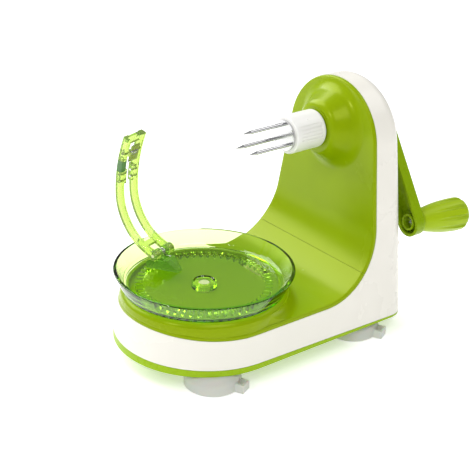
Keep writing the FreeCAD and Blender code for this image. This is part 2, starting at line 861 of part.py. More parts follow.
# Green bottom plate: a tray whose rim shows under the white shell
plate_gap = 0.3
rim_wall = 2.4
lip_height = 3.5
lip_wall = 1.5
rim_top = parting_height(-far)
plate_slab = case_blank("plate_slab", plate_gap, plate_base, rim_top)
plate_hollow = case_blank("plate_hollow", plate_gap + rim_wall, plate_top, rim_top + 1.0)
over_parting = parting_side("over_parting", far, S.parting_gap)
plate_tray = cut("plate_tray", plate_slab, [plate_hollow, over_parting])
lip_outer = case_blank("lip_outer", S.case_wall + 0.2, plate_top, shell_base + lip_height)
lip_inner = case_blank("lip_inner", S.case_wall + 0.2 + lip_wall, plate_top - 0.5,
                       shell_base + lip_height + 1.0)
plate_lip = cut("plate_lip", lip_outer, [lip_inner])
bracket_length = 4.0
bracket_front = pinion_front - S.gear_gap - bracket_length
bracket_half = lower_bush_outer + 2.4
bracket_foot = box("bracket_foot", Vector(bracket_front, -bracket_half, plate_top - 0.5),
                   Vector(bracket_front + bracket_length, bracket_half, lower_height))
bracket_head = rod_along_x("bracket_head", bracket_half, bracket_front,
                           bracket_front + bracket_length, 0, lower_height)
bracket_bore = rod_along_x("bracket_bore", lower_bush_outer, bracket_front - 1.0,
                           bracket_front + bracket_length + 1.0, 0, lower_height)
foot_places = {
    "front_near": (S.foot_front, -S.foot_side),
    "front_far": (S.foot_front, S.foot_side),
    "rear_near": (S.foot_rear, -S.foot_side),
    "rear_far": (S.foot_rear, S.foot_side),
}
foot_neck = 3.0
plate_cuts = [bracket_bore]
for tag, (place_x, place_y) in foot_places.items():
    plate_cuts.append(cylinder("foot_hole_" + tag, foot_neck, S.plate_wall + 2.0,
                               Vector(place_x, place_y, plate_base - 1.0)))
for index, (place_x, place_y, top_z) in enumerate(base_posts):
    for hand in (-1, 1):
        tag = "%d_%s" % (index, "near" if hand < 0 else "far")
        plate_cuts.append(cylinder("base_screw_hole_" + tag, screw_radius,
                                   S.plate_wall + 2.0,
                                   Vector(place_x, hand * place_y, plate_base - 1.0)))
plate_solid = fuse("plate_solid", [plate_tray, plate_lip, bracket_foot, bracket_head])
keep(cut("bottom_plate", plate_solid, plate_cuts), "bottom_plate")

# Suction feet: a soft cup on a stem pressed through the plate, with a pull tab
cup_dome = 4.5
cup_rim = 2.6
cup_bend = 32.0
stem_head = 5.0
for tag, (place_x, place_y) in foot_places.items():
    cup = new_body("cup_" + tag)
    cup_outline = [
        (0, cup_dome),
        ("foot_radius - %s" % cup_rim, 0, cup_bend, "right"),
        ("foot_radius - 0.8", 0),
        ("foot_radius", 0.8),
        ("foot_radius", "foot_height / 2"),
        ("foot_radius - 4.5", "foot_height", "foot_height / 2", "left"),
        (foot_neck, "foot_height"),
        (foot_neck, plate_top),
        (stem_head, plate_top),
        (stem_head - 1.0, plate_top + 1.6),
        (0, plate_top + 1.6),
    ]
    cup_sketch = sketch_on(cup, "XZ_Plane", "cup_half_" + tag, cup_outline)
    revolve(cup, cup_sketch, "V_Axis")
    tab = box("tab_" + tag, Vector(S.foot_radius - 2.0, -S.tab_width / 2, 0.6),
              Vector(S.foot_radius + 5.4, S.tab_width / 2, 6.4))
    tab_hole = box("tab_hole_" + tag,
                   Vector(S.foot_radius + 0.2, -S.tab_width / 2 + 1.6, 0),
                   Vector(S.foot_radius + 3.8, S.tab_width / 2 - 1.6, 8.0))
    tab_loop = cut("tab_loop_" + tag, tab, [tab_hole])
    foot = fuse("suction_foot_" + tag, [cup, tab_loop])
    facing = -64.0 if place_y < 0 else 64.0
    foot.Placement = Placement(Vector(place_x, place_y, 0),
                               Rotation(Vector(0, 0, 1), facing))
    keep(foot, "suction_foot_" + tag)


# Screws: pan heads with a cross recess
def screw_shape(length, head_radius=screw_head_radius, shank=screw_radius,
                head_height=screw_head_height):
    """A screw on +Z, its head under Z = 0 and its shank above."""
    shape = Part.makeCylinder(shank, length)
    head = Part.makeCylinder(head_radius, head_height, Vector(0, 0, -head_height))
    head = head.makeFillet(head_height * 0.45, [head.Edges[2]])
    shape = shape.fuse(head)
    for angle in (0, 90):
        slot = Part.makeBox(head_radius * 1.1, head_radius * 0.24, head_height * 0.55,
                            Vector(-head_radius * 0.55, -head_radius * 0.12, -head_height))
        slot.rotate(Vector(0, 0, 0), Vector(0, 0, 1), angle)
        shape = shape.cut(slot)
    return shape.removeSplitter()


def placed(shape, base, direction):
    copy = shape.copy()
    copy.Placement = Placement(base, Rotation(Vector(0, 0, 1), direction))
    return copy


base_screws = []
for place_x, place_y, top_z in base_posts:
    for hand in (-1, 1):
        base_screws.append(placed(screw_shape(10.0), Vector(place_x, hand * place_y, plate_base),
                                  Vector(0, 0, 1)))
keep(solid_feature("base_screws", Part.makeCompound(base_screws)), "base_screws")

rear_screws = []
for side, height in rear_screw_places:
    for hand in (-1, 1):
        rear_screws.append(placed(screw_shape(rear_screw_length),
                                  Vector(S.case_back - head_recess, hand * side, height),
                                  Vector(-1, 0, 0)))
keep(solid_feature("rear_screws", Part.makeCompound(rear_screws)), "rear_screws")

plate_screws = []
for side, height in plate_screw_places:
    for hand in (-1, 1):
        plate_screws.append(placed(screw_shape(9.0, head_height=1.2),
                                   Vector(plate_front, hand * side, height), Vector(1, 0, 0)))
keep(solid_feature("gear_plate_screws", Part.makeCompound(plate_screws)), "gear_plate_screws")

# Gear plate that holds the front ends of the axles
gear_plate_low = idler_height - 11.0
gear_plate_high = spindle_height + 11.25
gear_plate_body = new_body("gear_plate_blank")
gear_plate_sketch = sketch_on(gear_plate_body, "YZ_Plane", "gear_plate_outline", [
    ("-gear_plate_half_width", gear_plate_low),
    ("gear_plate_half_width", gear_plate_low),
    ("gear_plate_half_width", gear_plate_high),
    ("-gear_plate_half_width", gear_plate_high),
], offset=plate_front)
pad(gear_plate_body, gear_plate_sketch, "gear_plate_wall")
fillet(gear_plate_body, "10", lambda edge: edge.BoundBox.YLength < 1e-4
       and edge.BoundBox.ZLength < 1e-4)
gear_plate_boss = rod_along_x("gear_plate_boss", axle_boss_radius, plate_front,
                              gear_front_second - S.gear_gap, 0, second_height)
gear_plate_solid = fuse("gear_plate_solid", [gear_plate_body, gear_plate_boss])
gear_plate_holes = [rod_along_x("gear_plate_spindle_hole", bush_outer, plate_front - 1.0,
                                plate_front + 4.0, 0, spindle_height)]
for index, height in enumerate((first_height, second_height)):
    gear_plate_holes.append(rod_along_x("gear_plate_hole_%d" % index, S.axle_radius,
                                        plate_front - 1.0, gear_front_second, 0, height))
for index, (side, height) in enumerate(plate_screw_places):
    for hand in (-1, 1):
        gear_plate_holes.append(rod_along_x(
            "gear_plate_screw_hole_%d_%d" % (index, hand + 1), screw_radius,
            plate_front - 1.0, plate_front + 4.0, hand * side, height))
keep(cut("gear_plate", gear_plate_solid, gear_plate_holes), "gear_plate")


# Gears
def flank_angle(radius, teeth, module, slack):
    """Half the angle that a tooth takes at a radius, from its involute flanks."""
    pressure = math.radians(S.pressure_angle)
    pitch = pitch_radius(teeth, module)
    base = pitch * math.cos(pressure)
    at_radius = math.acos(min(base / radius, 1.0))
    roll = (math.tan(pressure) - pressure) - (math.tan(at_radius) - at_radius)
    return math.pi / (2 * teeth) - slack / 2 / pitch + roll


def spur_gear(teeth, module, width, bore, phase, slack):
    """A spur gear along +X from X = 0, with a tooth at an angle from +Z."""
    pitch = pitch_radius(teeth, module)
    tip = pitch + addendum_share * module
    root = pitch - dedendum_share * module
    base = pitch * math.cos(math.radians(S.pressure_angle))
    flank_low = max(base * 1.0005, root + 0.02)
    flank_middle = (flank_low + tip) / 2
    step = 2 * math.pi / teeth

    def spot(radius, angle):
        turned = angle + phase
        return Vector(0, -radius * math.sin(turned), radius * math.cos(turned))

    low = flank_angle(flank_low, teeth, module, slack)
    middle = flank_angle(flank_middle, teeth, module, slack)
    high = flank_angle(tip, teeth, module, slack)
    edges = []
    for index in range(int(teeth)):
        centre = index * step
        edges.append(Part.makeLine(spot(root, centre - low), spot(flank_low, centre - low)))
        edges.append(Part.Arc(spot(flank_low, centre - low), spot(flank_middle, centre - middle),
                              spot(tip, centre - high)).toShape())
        edges.append(Part.Arc(spot(tip, centre - high), spot(tip, centre),
                              spot(tip, centre + high)).toShape())
        edges.append(Part.Arc(spot(tip, centre + high), spot(flank_middle, centre + middle),
                              spot(flank_low, centre + low)).toShape())
        edges.append(Part.makeLine(spot(flank_low, centre + low), spot(root, centre + low)))
        edges.append(Part.Arc(spot(root, centre + low), spot(root, centre + step / 2),
                              spot(root, centre + step - low)).toShape())
    face = Part.Face(Part.Wire(edges))
    gear = face.extrude(Vector(width, 0, 0))
    hole = Part.makeCylinder(bore, width + 2, Vector(-1, 0, 0), Vector(1, 0, 0))
    return gear.cut(hole)


def lightened(gear, teeth, module, width, hub, windows):
    """Recesses both faces of a wheel and opens round windows in its web."""
    root = pitch_radius(teeth, module) - dedendum_share * module
    rim = root - 1.8
    for start in (-1.0, width - 1.0):
        ring = Part.makeCylinder(rim, 2.0, Vector(start, 0, 0), Vector(1, 0, 0))
        ring = ring.cut(Part.makeCylinder(hub, 4.0, Vector(start - 1, 0, 0), Vector(1, 0, 0)))
        gear = gear.cut(ring)
    for index in range(windows):
        angle = 2 * math.pi * index / windows
        reach = (rim + hub) / 2
        place = Vector(-1, reach * math.cos(angle), reach * math.sin(angle))
        gear = gear.cut(Part.makeCylinder((rim - hub) * 0.3, width + 2, place, Vector(1, 0, 0)))
    return gear


def place_gear(name, shape, start, height):
    feature = solid_feature(name, shape)
    feature.Placement = Placement(Vector(start, 0, height), Rotation())
    return keep(feature, name)


axle_bore = S.axle_radius + S.shaft_fit
tooth_down = math.pi
upper_wheel = spur_gear(S.wheel_teeth, S.gear_module, S.gear_width, axle_bore,
                        math.pi / S.wheel_teeth, S.backlash)
upper_wheel = lightened(upper_wheel, S.wheel_teeth, S.gear_module, S.gear_width, 6.0, 5)
wheel_pinion = spur_gear(S.pinion_teeth, S.gear_module, layer_step, axle_bore, tooth_down,
                         S.backlash)
wheel_pinion.translate(Vector(S.gear_width, 0, 0))
compound_shape = upper_wheel.fuse(wheel_pinion).removeSplitter()
place_gear("upper_compound_gear", compound_shape, gear_front_first, first_height)
place_gear("lower_compound_gear", compound_shape, gear_front_second, second_height)
pinion_shape = spur_gear(S.pinion_teeth, S.gear_module, S.gear_width, S.spindle_radius,
                         tooth_down, S.backlash)
place_gear("spindle_pinion", pinion_shape, gear_front_first, spindle_height)
idler_shape = spur_gear(S.idler_teeth, S.gear_module, S.gear_width, axle_bore,
                        math.pi / S.idler_teeth, S.backlash)
idler_shape = lightened(idler_shape, S.idler_teeth, S.gear_module, S.gear_width, 4.5, 0)
place_gear("idler_gear", idler_shape, gear_front_third, idler_height)
lower_shape = spur_gear(S.lower_teeth, S.gear_module, S.gear_width, S.lower_shaft_radius,
                        math.pi / S.lower_teeth, S.backlash)
lower_shape = lightened(lower_shape, S.lower_teeth, S.gear_module, S.gear_width, 6.0, 0)
place_gear("lower_wheel", lower_shape, gear_front_third, lower_height)
crown_slack = 0.5
crown_pinion_shape = spur_gear(S.crown_pinion_teeth, S.crown_module, S.crown_face,
                               S.lower_shaft_radius, 0.0, crown_slack)
crown_hub = Part.makeCylinder(S.lower_shaft_radius + 2.4, 4.0, Vector(S.crown_face, 0, 0),
                              Vector(1, 0, 0))
crown_hub = crown_hub.cut(Part.makeCylinder(S.lower_shaft_radius, 6.0,
                                            Vector(S.crown_face - 1, 0, 0), Vector(1, 0, 0)))
crown_pinion_shape = crown_pinion_shape.fuse(crown_hub).removeSplitter()
place_gear("crown_pinion", crown_pinion_shape, pinion_front, lower_height)

# Axles, shafts and bushes
axle_names = ("upper_gear_axle", "lower_gear_axle", "idler_axle")
axle_fronts = (plate_front, plate_front, gear_front_third)
for index, axle_name in enumerate(axle_names):
    keep(rod_along_x(axle_name, "axle_radius", axle_fronts[index], back_inside + 1.0, 0,
                     axle_heights[index]), axle_name)
keep(rod_along_x("lower_shaft", "lower_shaft_radius", bracket_front - 1.0, back_inside - 0.3, 0,
                 lower_height), "lower_shaft")


def bush(name, start, end, height, bore, outer, flange_start=None, flange_end=None,
         flange_radius=None):
    body = new_body(name)
    outline = [(start, bore), (end, bore), (end, outer), (start, outer)]
    sketch = sketch_on(body, "XZ_Plane", name + "_half", outline)
    revolve(body, sketch, "H_Axis")
    if flange_start is not None:
        ring = [(flange_start, bore), (flange_end, bore), (flange_end, flange_radius),
                (flange_start, flange_radius)]
        flange = sketch_on(body, "XZ_Plane", name + "_flange", ring)
        revolve(body, flange, "H_Axis")
    body.Placement = Placement(Vector(0, 0, height), Rotation())
    return keep(body, name)


spindle_bore = S.spindle_radius + S.shaft_fit
lower_bore = S.lower_shaft_radius + S.shaft_fit
flange_wall = 1.4
bush("front_bush", boss_front + 0.5, bush_end, spindle_height, spindle_bore, bush_outer)
bush("rear_bush", bearing_boss_front, S.case_back, spindle_height, spindle_bore, bush_outer,
     S.case_back, S.case_back + flange_wall, bush_outer + 2.0)
bush("lower_front_bush", bracket_front, bracket_front + bracket_length, lower_height,
     lower_bore, lower_bush_outer)
bush("lower_rear_bush", bearing_boss_front, back_inside, lower_height, lower_bore,
     lower_bush_outer)

# Spindle, its clip, the grooved hub and the fork
spindle_start = hub_front + 3.0
spindle_end = crank_rear - 3.0
clip_start = bush_end + 0.3
clip_end = clip_start + 1.0
crank_screw_length = 9.0
spindle_body = new_body("spindle_shaft")
spindle_sketch = sketch_on(spindle_body, "XZ_Plane", "spindle_half", [
    (spindle_start, 0),
    (spindle_end - crank_screw_length, 0),
    (spindle_end - crank_screw_length, screw_radius),
    (spindle_end, screw_radius),
    (spindle_end, "spindle_radius"),
    (spindle_start + 1.0, "spindle_radius"),
    (spindle_start, "spindle_radius - 1"),
])
revolve(spindle_body, spindle_sketch, "H_Axis")
spindle_body.Placement = Placement(Vector(0, 0, spindle_height), Rotation())
keep(spindle_body, "spindle_shaft")
clip = new_body("shaft_clip")
clip_sketch = sketch_on(clip, "XZ_Plane", "clip_half", [
    (clip_start, "spindle_radius"), (clip_end, "spindle_radius"),
    (clip_end, "spindle_radius + 2.4"), (clip_start, "spindle_radius + 2.4")])
revolve(clip, clip_sketch, "H_Axis")
clip.Placement = Placement(Vector(0, 0, spindle_height), Rotation())
keep(clip, "shaft_clip")

hub_round = 2.0
hub = new_body("fork_hub")
hub_sketch = sketch_on(hub, "XZ_Plane", "hub_half", [
    (hub_front, "spindle_radius"),
    (hub_rear, "spindle_radius"),
    (hub_rear, "hub_radius - 2"),
    (hub_rear - hub_round, "hub_radius", hub_round, "left"),
    (hub_front + 1.2, "hub_radius"),
    (hub_front, "hub_radius - 1.2", 1.2, "left"),
])
revolve(hub, hub_sketch, "H_Axis")
doc.recompute()
groove_half = 0.6
groove_depth = 0.5
groove_margin = 3.5
groove_tool = 3.0
grip_middle = 15.0
grooves = []
for hand in (-1, 1):
    for index in range(int(S.grip_grooves)):
        rise = grip_middle + (index - (S.grip_grooves - 1) / 2) * S.grip_pitch
        groove_place = Vector(hub_front + groove_margin, -groove_half,
                              S.hub_radius - groove_depth)
        groove = Part.makeBox(S.hub_length - 2 * groove_margin, 2 * groove_half, groove_tool,
                              groove_place)
        groove.rotate(Vector(0, 0, 0), Vector(1, 0, 0), hand * (rise - 90.0))
        grooves.append(groove)
hub_shape = hub.Shape.cut(grooves)
nib_radius = 0.9
nib_root = 0.5
nib_rise = 0.3
nib_lean = 34.0
nib = Part.makeCylinder(nib_radius, nib_root + nib_rise,
                        Vector(hub_rear - S.hub_length / 2, 0, S.hub_radius - nib_root))
nib.rotate(Vector(0, 0, 0), Vector(1, 0, 0), nib_lean)
gripped_hub = solid_feature("gripped_hub", hub_shape.fuse(nib).removeSplitter())
gripped_hub.Placement = Placement(Vector(0, 0, spindle_height), Rotation())
keep(gripped_hub, "fork_hub")

fork_plate_wall = 2.0
fork_front = hub_front - fork_plate_wall
fork_shape = Part.makeCylinder(S.prong_circle + S.prong_radius + 1.2, fork_plate_wall,
                               Vector(fork_front, 0, spindle_height), Vector(1, 0, 0))
prong_tip = 6.0
for index in range(3):
    angle = 2 * math.pi * index / 3 + math.pi / 2
    place_y = S.prong_circle * math.cos(angle)
    place_z = spindle_height + S.prong_circle * math.sin(angle)
    shank_start = fork_front - S.prong_length + prong_tip
    prong = Part.makeCylinder(S.prong_radius, fork_front + 1.0 - shank_start,
                              Vector(shank_start, place_y, place_z), Vector(1, 0, 0))
    point = Part.makeCone(0.15, S.prong_radius, prong_tip,
                          Vector(shank_start - prong_tip, place_y, place_z), Vector(1, 0, 0))
    fork_shape = fork_shape.fuse(prong.fuse(point))
fork_stem = Part.makeCylinder(S.spindle_radius, spindle_start - fork_front,
                              Vector(fork_front, 0, spindle_height), Vector(1, 0, 0))
fork_shape = fork_shape.fuse(fork_stem).removeSplitter()
keep(solid_feature("fruit_fork", fork_shape), "fruit_fork")

# Crank arm: a channel open to the tower, wide at the hub and narrow at the knob
crank_place = Placement(Vector(0, 0, spindle_height),
                        Rotation(Vector(1, 0, 0), -S.crank_angle))
splay = math.radians(S.knob_splay)
knob_axis = Vector(math.cos(splay), 0, -math.sin(splay))
knob_seat = Vector(crank_rear, 0, -S.crank_throw)


def tapered_prism(hub_radius, end_radius, start, end):
    """A solid between two X planes on the outline of two circles and their tangents."""
    tilt = math.asin((hub_radius - end_radius) / S.crank_throw)
    hub_y = hub_radius * math.cos(tilt)
    hub_z = -hub_radius * math.sin(tilt)
    end_y = end_radius * math.cos(tilt)
    end_z = -S.crank_throw - end_radius * math.sin(tilt)
    corner = [Vector(start, -hub_y, hub_z), Vector(start, -end_y, end_z),
              Vector(start, end_y, end_z), Vector(start, hub_y, hub_z)]
    edges = [
        Part.makeLine(corner[0], corner[1]),
        Part.Arc(corner[1], Vector(start, 0, -S.crank_throw - end_radius), corner[2]).toShape(),
        Part.makeLine(corner[2], corner[3]),
        Part.Arc(corner[3], Vector(start, 0, hub_radius), corner[0]).toShape(),
    ]
    return Part.Face(Part.Wire(edges)).extrude(Vector(end - start, 0, 0))


crank_shape = tapered_prism(S.crank_hub_radius, S.crank_end_radius, crank_front, crank_rear)
rear_edges = [edge for edge in crank_shape.Edges
              if abs(edge.BoundBox.XMin - crank_rear) < 1e-4 and edge.BoundBox.XLength < 1e-4]
crank_shape = crank_shape.makeFillet(1.3, rear_edges)
channel = tapered_prism(S.crank_hub_radius - S.crank_wall, S.crank_end_radius - S.crank_wall,
                        crank_front - 1.0, crank_rear - S.crank_web)
crank_shape = crank_shape.cut(channel)
crank_hub_front = S.case_back + flange_wall + 0.4
crank_boss = Part.makeCylinder(S.spindle_radius + 4.2, crank_rear - 1.0 - crank_hub_front,
                               Vector(crank_hub_front, 0, 0), Vector(1, 0, 0))
knob_boss = Part.makeCylinder(5.8, S.crank_depth - 0.5 + S.knob_pad,
                              knob_seat - knob_axis * (S.crank_depth - 0.5), knob_axis)
crank_shape = crank_shape.fuse([crank_boss, knob_boss])
crank_screw_head = 2.2
axle_recess = 2.9
crank_cuts = [
    Part.makeCylinder(S.spindle_radius, spindle_end - crank_hub_front + 1.0,
                      Vector(crank_hub_front - 1.0, 0, 0), Vector(1, 0, 0)),
    Part.makeCylinder(screw_radius, 8.0, Vector(spindle_end - 1.0, 0, 0), Vector(1, 0, 0)),
    Part.makeCylinder(5.0, 3.0, Vector(crank_rear - 1.6, 0, 0), Vector(1, 0, 0)),
    Part.makeCylinder(S.knob_axle_radius, 2 * S.crank_depth,
                      knob_seat - knob_axis * S.crank_depth, knob_axis),
    Part.makeCylinder(4.3, S.crank_depth, knob_seat - knob_axis * (S.crank_depth + axle_recess),
                      knob_axis),
]
for tool in crank_cuts:
    crank_shape = crank_shape.cut(tool)
crank_feature = solid_feature("crank_arm", crank_shape.removeSplitter())
crank_feature.Placement = crank_place
keep(crank_feature, "crank_arm")

crank_screw_shape = placed(screw_shape(crank_screw_length, head_radius=4.6,
                                       head_height=crank_screw_head),
                           Vector(crank_rear - 1.6, 0, 0), Vector(-1, 0, 0))
crank_screw_feature = solid_feature("crank_screw", Part.makeCompound([crank_screw_shape]))
crank_screw_feature.Placement = crank_place
keep(crank_screw_feature, "crank_screw")

# Knob on its shoulder screw, splayed away from the crank's axis
knob_start = S.knob_pad + S.running_gap
knob_bore_depth = S.knob_length - 9.0
axle_head_seat = knob_seat - knob_axis * axle_recess
axle_shape = screw_shape(axle_recess + knob_start + knob_bore_depth - 1.0,
                         head_radius=3.9, shank=S.knob_axle_radius, head_height=1.8)
axle_feature = solid_feature("knob_axle", Part.makeCompound(
    [placed(axle_shape, axle_head_seat, knob_axis)]))
axle_feature.Placement = crank_place
keep(axle_feature, "knob_axle")

knob_body = new_body("crank_knob")
knob_length = S.knob_length
dome_radius = 30.0
dome_edge = 8.0
dome_tilt = math.asin(dome_edge / dome_radius)
corner_radius = (S.knob_swell - dome_edge) / (1 - math.sin(dome_tilt))
dome_end = knob_length - dome_radius * (1 - math.cos(dome_tilt))
swell_place = dome_end - corner_radius * math.cos(dome_tilt)
neck_place = 1.2
neck_fall = S.knob_swell - S.knob_neck
flank_radius = ((swell_place - neck_place) ** 2 + neck_fall ** 2) / (2 * neck_fall)
knob_outline = [
    (0, "knob_axle_radius + shaft_fit"),
    ("knob_length - 9", "knob_axle_radius + shaft_fit"),
    ("knob_length - 9", 0),
    ("knob_length", 0),
    (dome_end, dome_edge, dome_radius, "left"),
    (swell_place, "knob_swell", corner_radius, "left"),
    (neck_place, "knob_neck", flank_radius, "left"),
    (0, "knob_neck - 1"),
]
knob_sketch = sketch_on(knob_body, "XZ_Plane", "knob_half", knob_outline)
revolve(knob_body, knob_sketch, "H_Axis")
doc.recompute()
flute_end = knob_length - 3.0
flute_line = []
for place, depth in ((0.22 * knob_length, -0.05), (0.62 * knob_length, 1.1)):
    profile = S.knob_swell - flank_radius + math.sqrt(
        flank_radius ** 2 - (swell_place - place) ** 2)
    flute_line.append(Vector(place, 0, profile - depth))
corner_height = S.knob_swell - corner_radius + math.sqrt(
    corner_radius ** 2 - (flute_end - swell_place) ** 2)
flute_line.append(Vector(flute_end, 0, corner_height - 1.0))
flute_circle = Part.Arc(flute_line[0], flute_line[1], flute_line[2]).toShape().Curve
flute_radius = 1.9
knob_shape = knob_body.Shape.copy()
for index in range(int(S.knob_flutes)):
    tool = Part.makeTorus(flute_circle.Radius + flute_radius, flute_radius,
                          flute_circle.Center, Vector(0, 1, 0))
    tool.rotate(Vector(0, 0, 0), Vector(1, 0, 0), 360.0 * (index + 0.1) / S.knob_flutes)
    knob_shape = knob_shape.cut(tool)
knob = solid_feature("crank_knob_fluted", knob_shape)
knob_turn = Rotation(Vector(1, 0, 0), knob_axis)
knob.Placement = crank_place.multiply(
    Placement(knob_seat + knob_axis * knob_start, knob_turn))
keep(knob, "crank_knob")

# Bowl: clear dish with a ring of crown teeth and a socket for the pivot
bowl_rim_height = S.bowl_floor + S.bowl_height
socket_bottom = recess_floor + 0.8
dish = new_body("bowl_dish")
dish_outline = [
    (0, S.bowl_floor - 0.7),
    (0, floor_under + 0.8),
    ("pivot_radius + shaft_fit", floor_under + 0.8),
    ("pivot_radius + shaft_fit", socket_bottom),
    ("pivot_flange + 1", socket_bottom),
    ("pivot_flange + 1", floor_under),
    ("bowl_foot_radius", floor_under),
    (S.bowl_foot_radius + 2.2, floor_under + 2.0, 2.6, "left"),
    (S.bowl_radius, bowl_rim_height - 0.6),
    (S.bowl_radius - 0.6, bowl_rim_height, 0.7, "left"),
    (S.bowl_radius - S.bowl_wall, bowl_rim_height),
    (S.bowl_radius - S.bowl_wall - 0.3, bowl_rim_height - 0.6),
    (S.bowl_foot_radius + 0.4, floor_under + 4.9),
    (S.bowl_foot_radius - 3.2, S.bowl_floor, 4.6, "right"),
    ("dimple_radius + 0.7", S.bowl_floor),
    ("dimple_radius", S.bowl_floor - 0.7),
]
dish_sketch = sketch_on(dish, "XZ_Plane", "dish_half", dish_outline)
revolve(dish, dish_sketch, "V_Axis")

crown_tip = crown_pitch_height - addendum_share * S.crown_module
crown_inner = crown_radius - S.crown_face / 2 - 0.3
crown_outer = crown_radius + S.crown_face / 2 + 0.3
ring_shape = Part.makeCylinder(crown_outer, floor_under + 0.5 - crown_tip,
                               Vector(0, 0, crown_tip))
ring_shape = ring_shape.cut(Part.makeCylinder(crown_inner, 20.0, Vector(0, 0, crown_tip - 5)))
slot_pitch_half = math.pi * S.crown_module / 4 + crown_slack / 2
tangent = math.tan(math.radians(S.pressure_angle))
slot_low = slot_pitch_half + (crown_pitch_height - crown_tip + 1.0) * tangent
slot_high = slot_pitch_half - (floor_under - crown_pitch_height) * tangent
slot_wire = Part.makePolygon([
    Vector(crown_inner - 2, -slot_low, crown_tip - 1.0),
    Vector(crown_inner - 2, slot_low, crown_tip - 1.0),
    Vector(crown_inner - 2, slot_high, floor_under),
    Vector(crown_inner - 2, -slot_high, floor_under),
    Vector(crown_inner - 2, -slot_low, crown_tip - 1.0)])
slot_shape = Part.Face(slot_wire).extrude(Vector(S.crown_face + 5, 0, 0))
slots = []
for index in range(int(S.crown_teeth)):
    slot = slot_shape.copy()
    slot.rotate(Vector(0, 0, 0), Vector(0, 0, 1), 360.0 * index / S.crown_teeth)
    slots.append(slot)
ring_shape = ring_shape.cut(slots)
crown_ring = solid_feature("crown_ring", ring_shape)
keep(fuse("bowl", [dish, crown_ring]), "bowl")

pivot = new_body("bowl_pivot")
pivot_sketch = sketch_on(pivot, "XZ_Plane", "pivot_half", [
    (0, recess_under - 4.0),
    (pivot_stem_radius, recess_under - 4.0),
    (pivot_stem_radius, recess_floor),
    ("pivot_flange", recess_floor),
    ("pivot_flange", recess_floor + 0.5),
    ("pivot_radius", recess_floor + 0.5),
    ("pivot_radius", floor_under - 0.2),
    ("pivot_radius - 0.8", floor_under + 0.5),
    (0, floor_under + 0.5),
])
revolve(pivot, pivot_sketch, "V_Axis")
keep(pivot, "bowl_pivot")
nut_hex = Part.makePolygon([Vector(5 * math.cos(math.radians(60 * k)),
                                   5 * math.sin(math.radians(60 * k)), recess_under - 2.6)
                            for k in range(7)])
nut_shape = Part.Face(nut_hex).extrude(Vector(0, 0, 2.6))
nut_shape = nut_shape.cut(Part.makeCylinder(pivot_stem_radius, 5.0,
                                            Vector(0, 0, recess_under - 4)))
keep(solid_feature("pivot_nut", nut_shape), "pivot_nut")

# Peeling arm, drawn in its own upright plane: X away from the bowl's axis, Y across
arm_place = Placement(Vector(0, 0, 0), Rotation(Vector(0, 0, 1), S.arm_azimuth))
hinge_height = S.bowl_floor + S.hinge_rise
elbow_height = S.bowl_floor + S.elbow_rise
elbow_run = S.elbow_reach - S.hinge_reach
elbow_climb = S.elbow_rise - S.hinge_rise
lower_bend = (elbow_run ** 2 + elbow_climb ** 2) / (2 * elbow_run)
lower_centre = (S.elbow_reach - lower_bend, elbow_height)
upper_centre = (S.elbow_reach - S.upper_bend, elbow_height)
leg_half = S.leg_depth / 2
across_half = S.leg_gap / 2
outer_half = across_half + S.leg_width
hinge_start = math.atan2(hinge_height - lower_centre[1], S.hinge_reach - lower_centre[0])


def bend_point(centre, radius, angle):
    return (centre[0] + radius * math.cos(angle), centre[1] + radius * math.sin(angle))


def band_prism(centre, radius, first, last, half, low_y, high_y, rounding=0.0):
    """A curved bar between two angles of a bend, from one Y to another."""
    spots = []
    for reach in (radius - half, radius + half):
        for angle in (first, (first + last) / 2, last):
            place = bend_point(centre, reach, angle)
            spots.append(Vector(place[0], low_y, place[1]))
    edges = [
        Part.Arc(spots[0], spots[1], spots[2]).toShape(),
        Part.makeLine(spots[2], spots[5]),
        Part.Arc(spots[5], spots[4], spots[3]).toShape(),
        Part.makeLine(spots[3], spots[0]),
    ]
    bar = Part.Face(Part.Wire(edges)).extrude(Vector(0, high_y - low_y, 0))
    if rounding > 0:
        long_edges = [edge for edge in bar.Edges if isinstance(edge.Curve, Part.Circle)]
        bar = bar.makeFillet(rounding, long_edges)
    return bar


eye_radius = S.leg_depth / 2 + 1.2
eye_round = 0.6


def hinge_eye(low_y, high_y):
    """The round end of a leg about the hinge pin."""
    eye = Part.makeCylinder(eye_radius, high_y - low_y,
                            Vector(S.hinge_reach, low_y, hinge_height), Vector(0, 1, 0))
    return eye.makeFillet(eye_round, [eye.Edges[0], eye.Edges[2]])


def both_sides(make):
    """A pair of solids, one on each side of the arm's middle."""
    first = make(across_half, outer_half)
    second = make(-outer_half, -across_half)
    return [first, second]


head_start = math.radians(S.head_start)
head_end = math.radians(S.head_end)
leg_top = head_start - 0.2 / S.upper_bend
arm_solids = both_sides(lambda low, high: band_prism(
    lower_centre, lower_bend, hinge_start, 0.0, leg_half, low, high, S.leg_round))
arm_solids += both_sides(lambda low, high: band_prism(
    upper_centre, S.upper_bend, 0.0, leg_top, leg_half, low, high, S.leg_round))
arm_solids += both_sides(hinge_eye)
bridge_first = hinge_start + 9.2 / lower_bend
bridge_last = bridge_first + 3.6 / lower_bend
bridge_half = 1.5
arm_solids.append(band_prism(lower_centre, lower_bend, bridge_first, bridge_last, bridge_half,
                             -across_half - 1.0, across_half + 1.0))
arm_shape = arm_solids[0].fuse(arm_solids[1:])
hinge_bore = Part.makeCylinder(S.hinge_pin_radius + S.shaft_fit, 2 * outer_half + 2,
                               Vector(S.hinge_reach, -outer_half - 1, hinge_height),
                               Vector(0, 1, 0))
arm_shape = arm_shape.cut(hinge_bore)

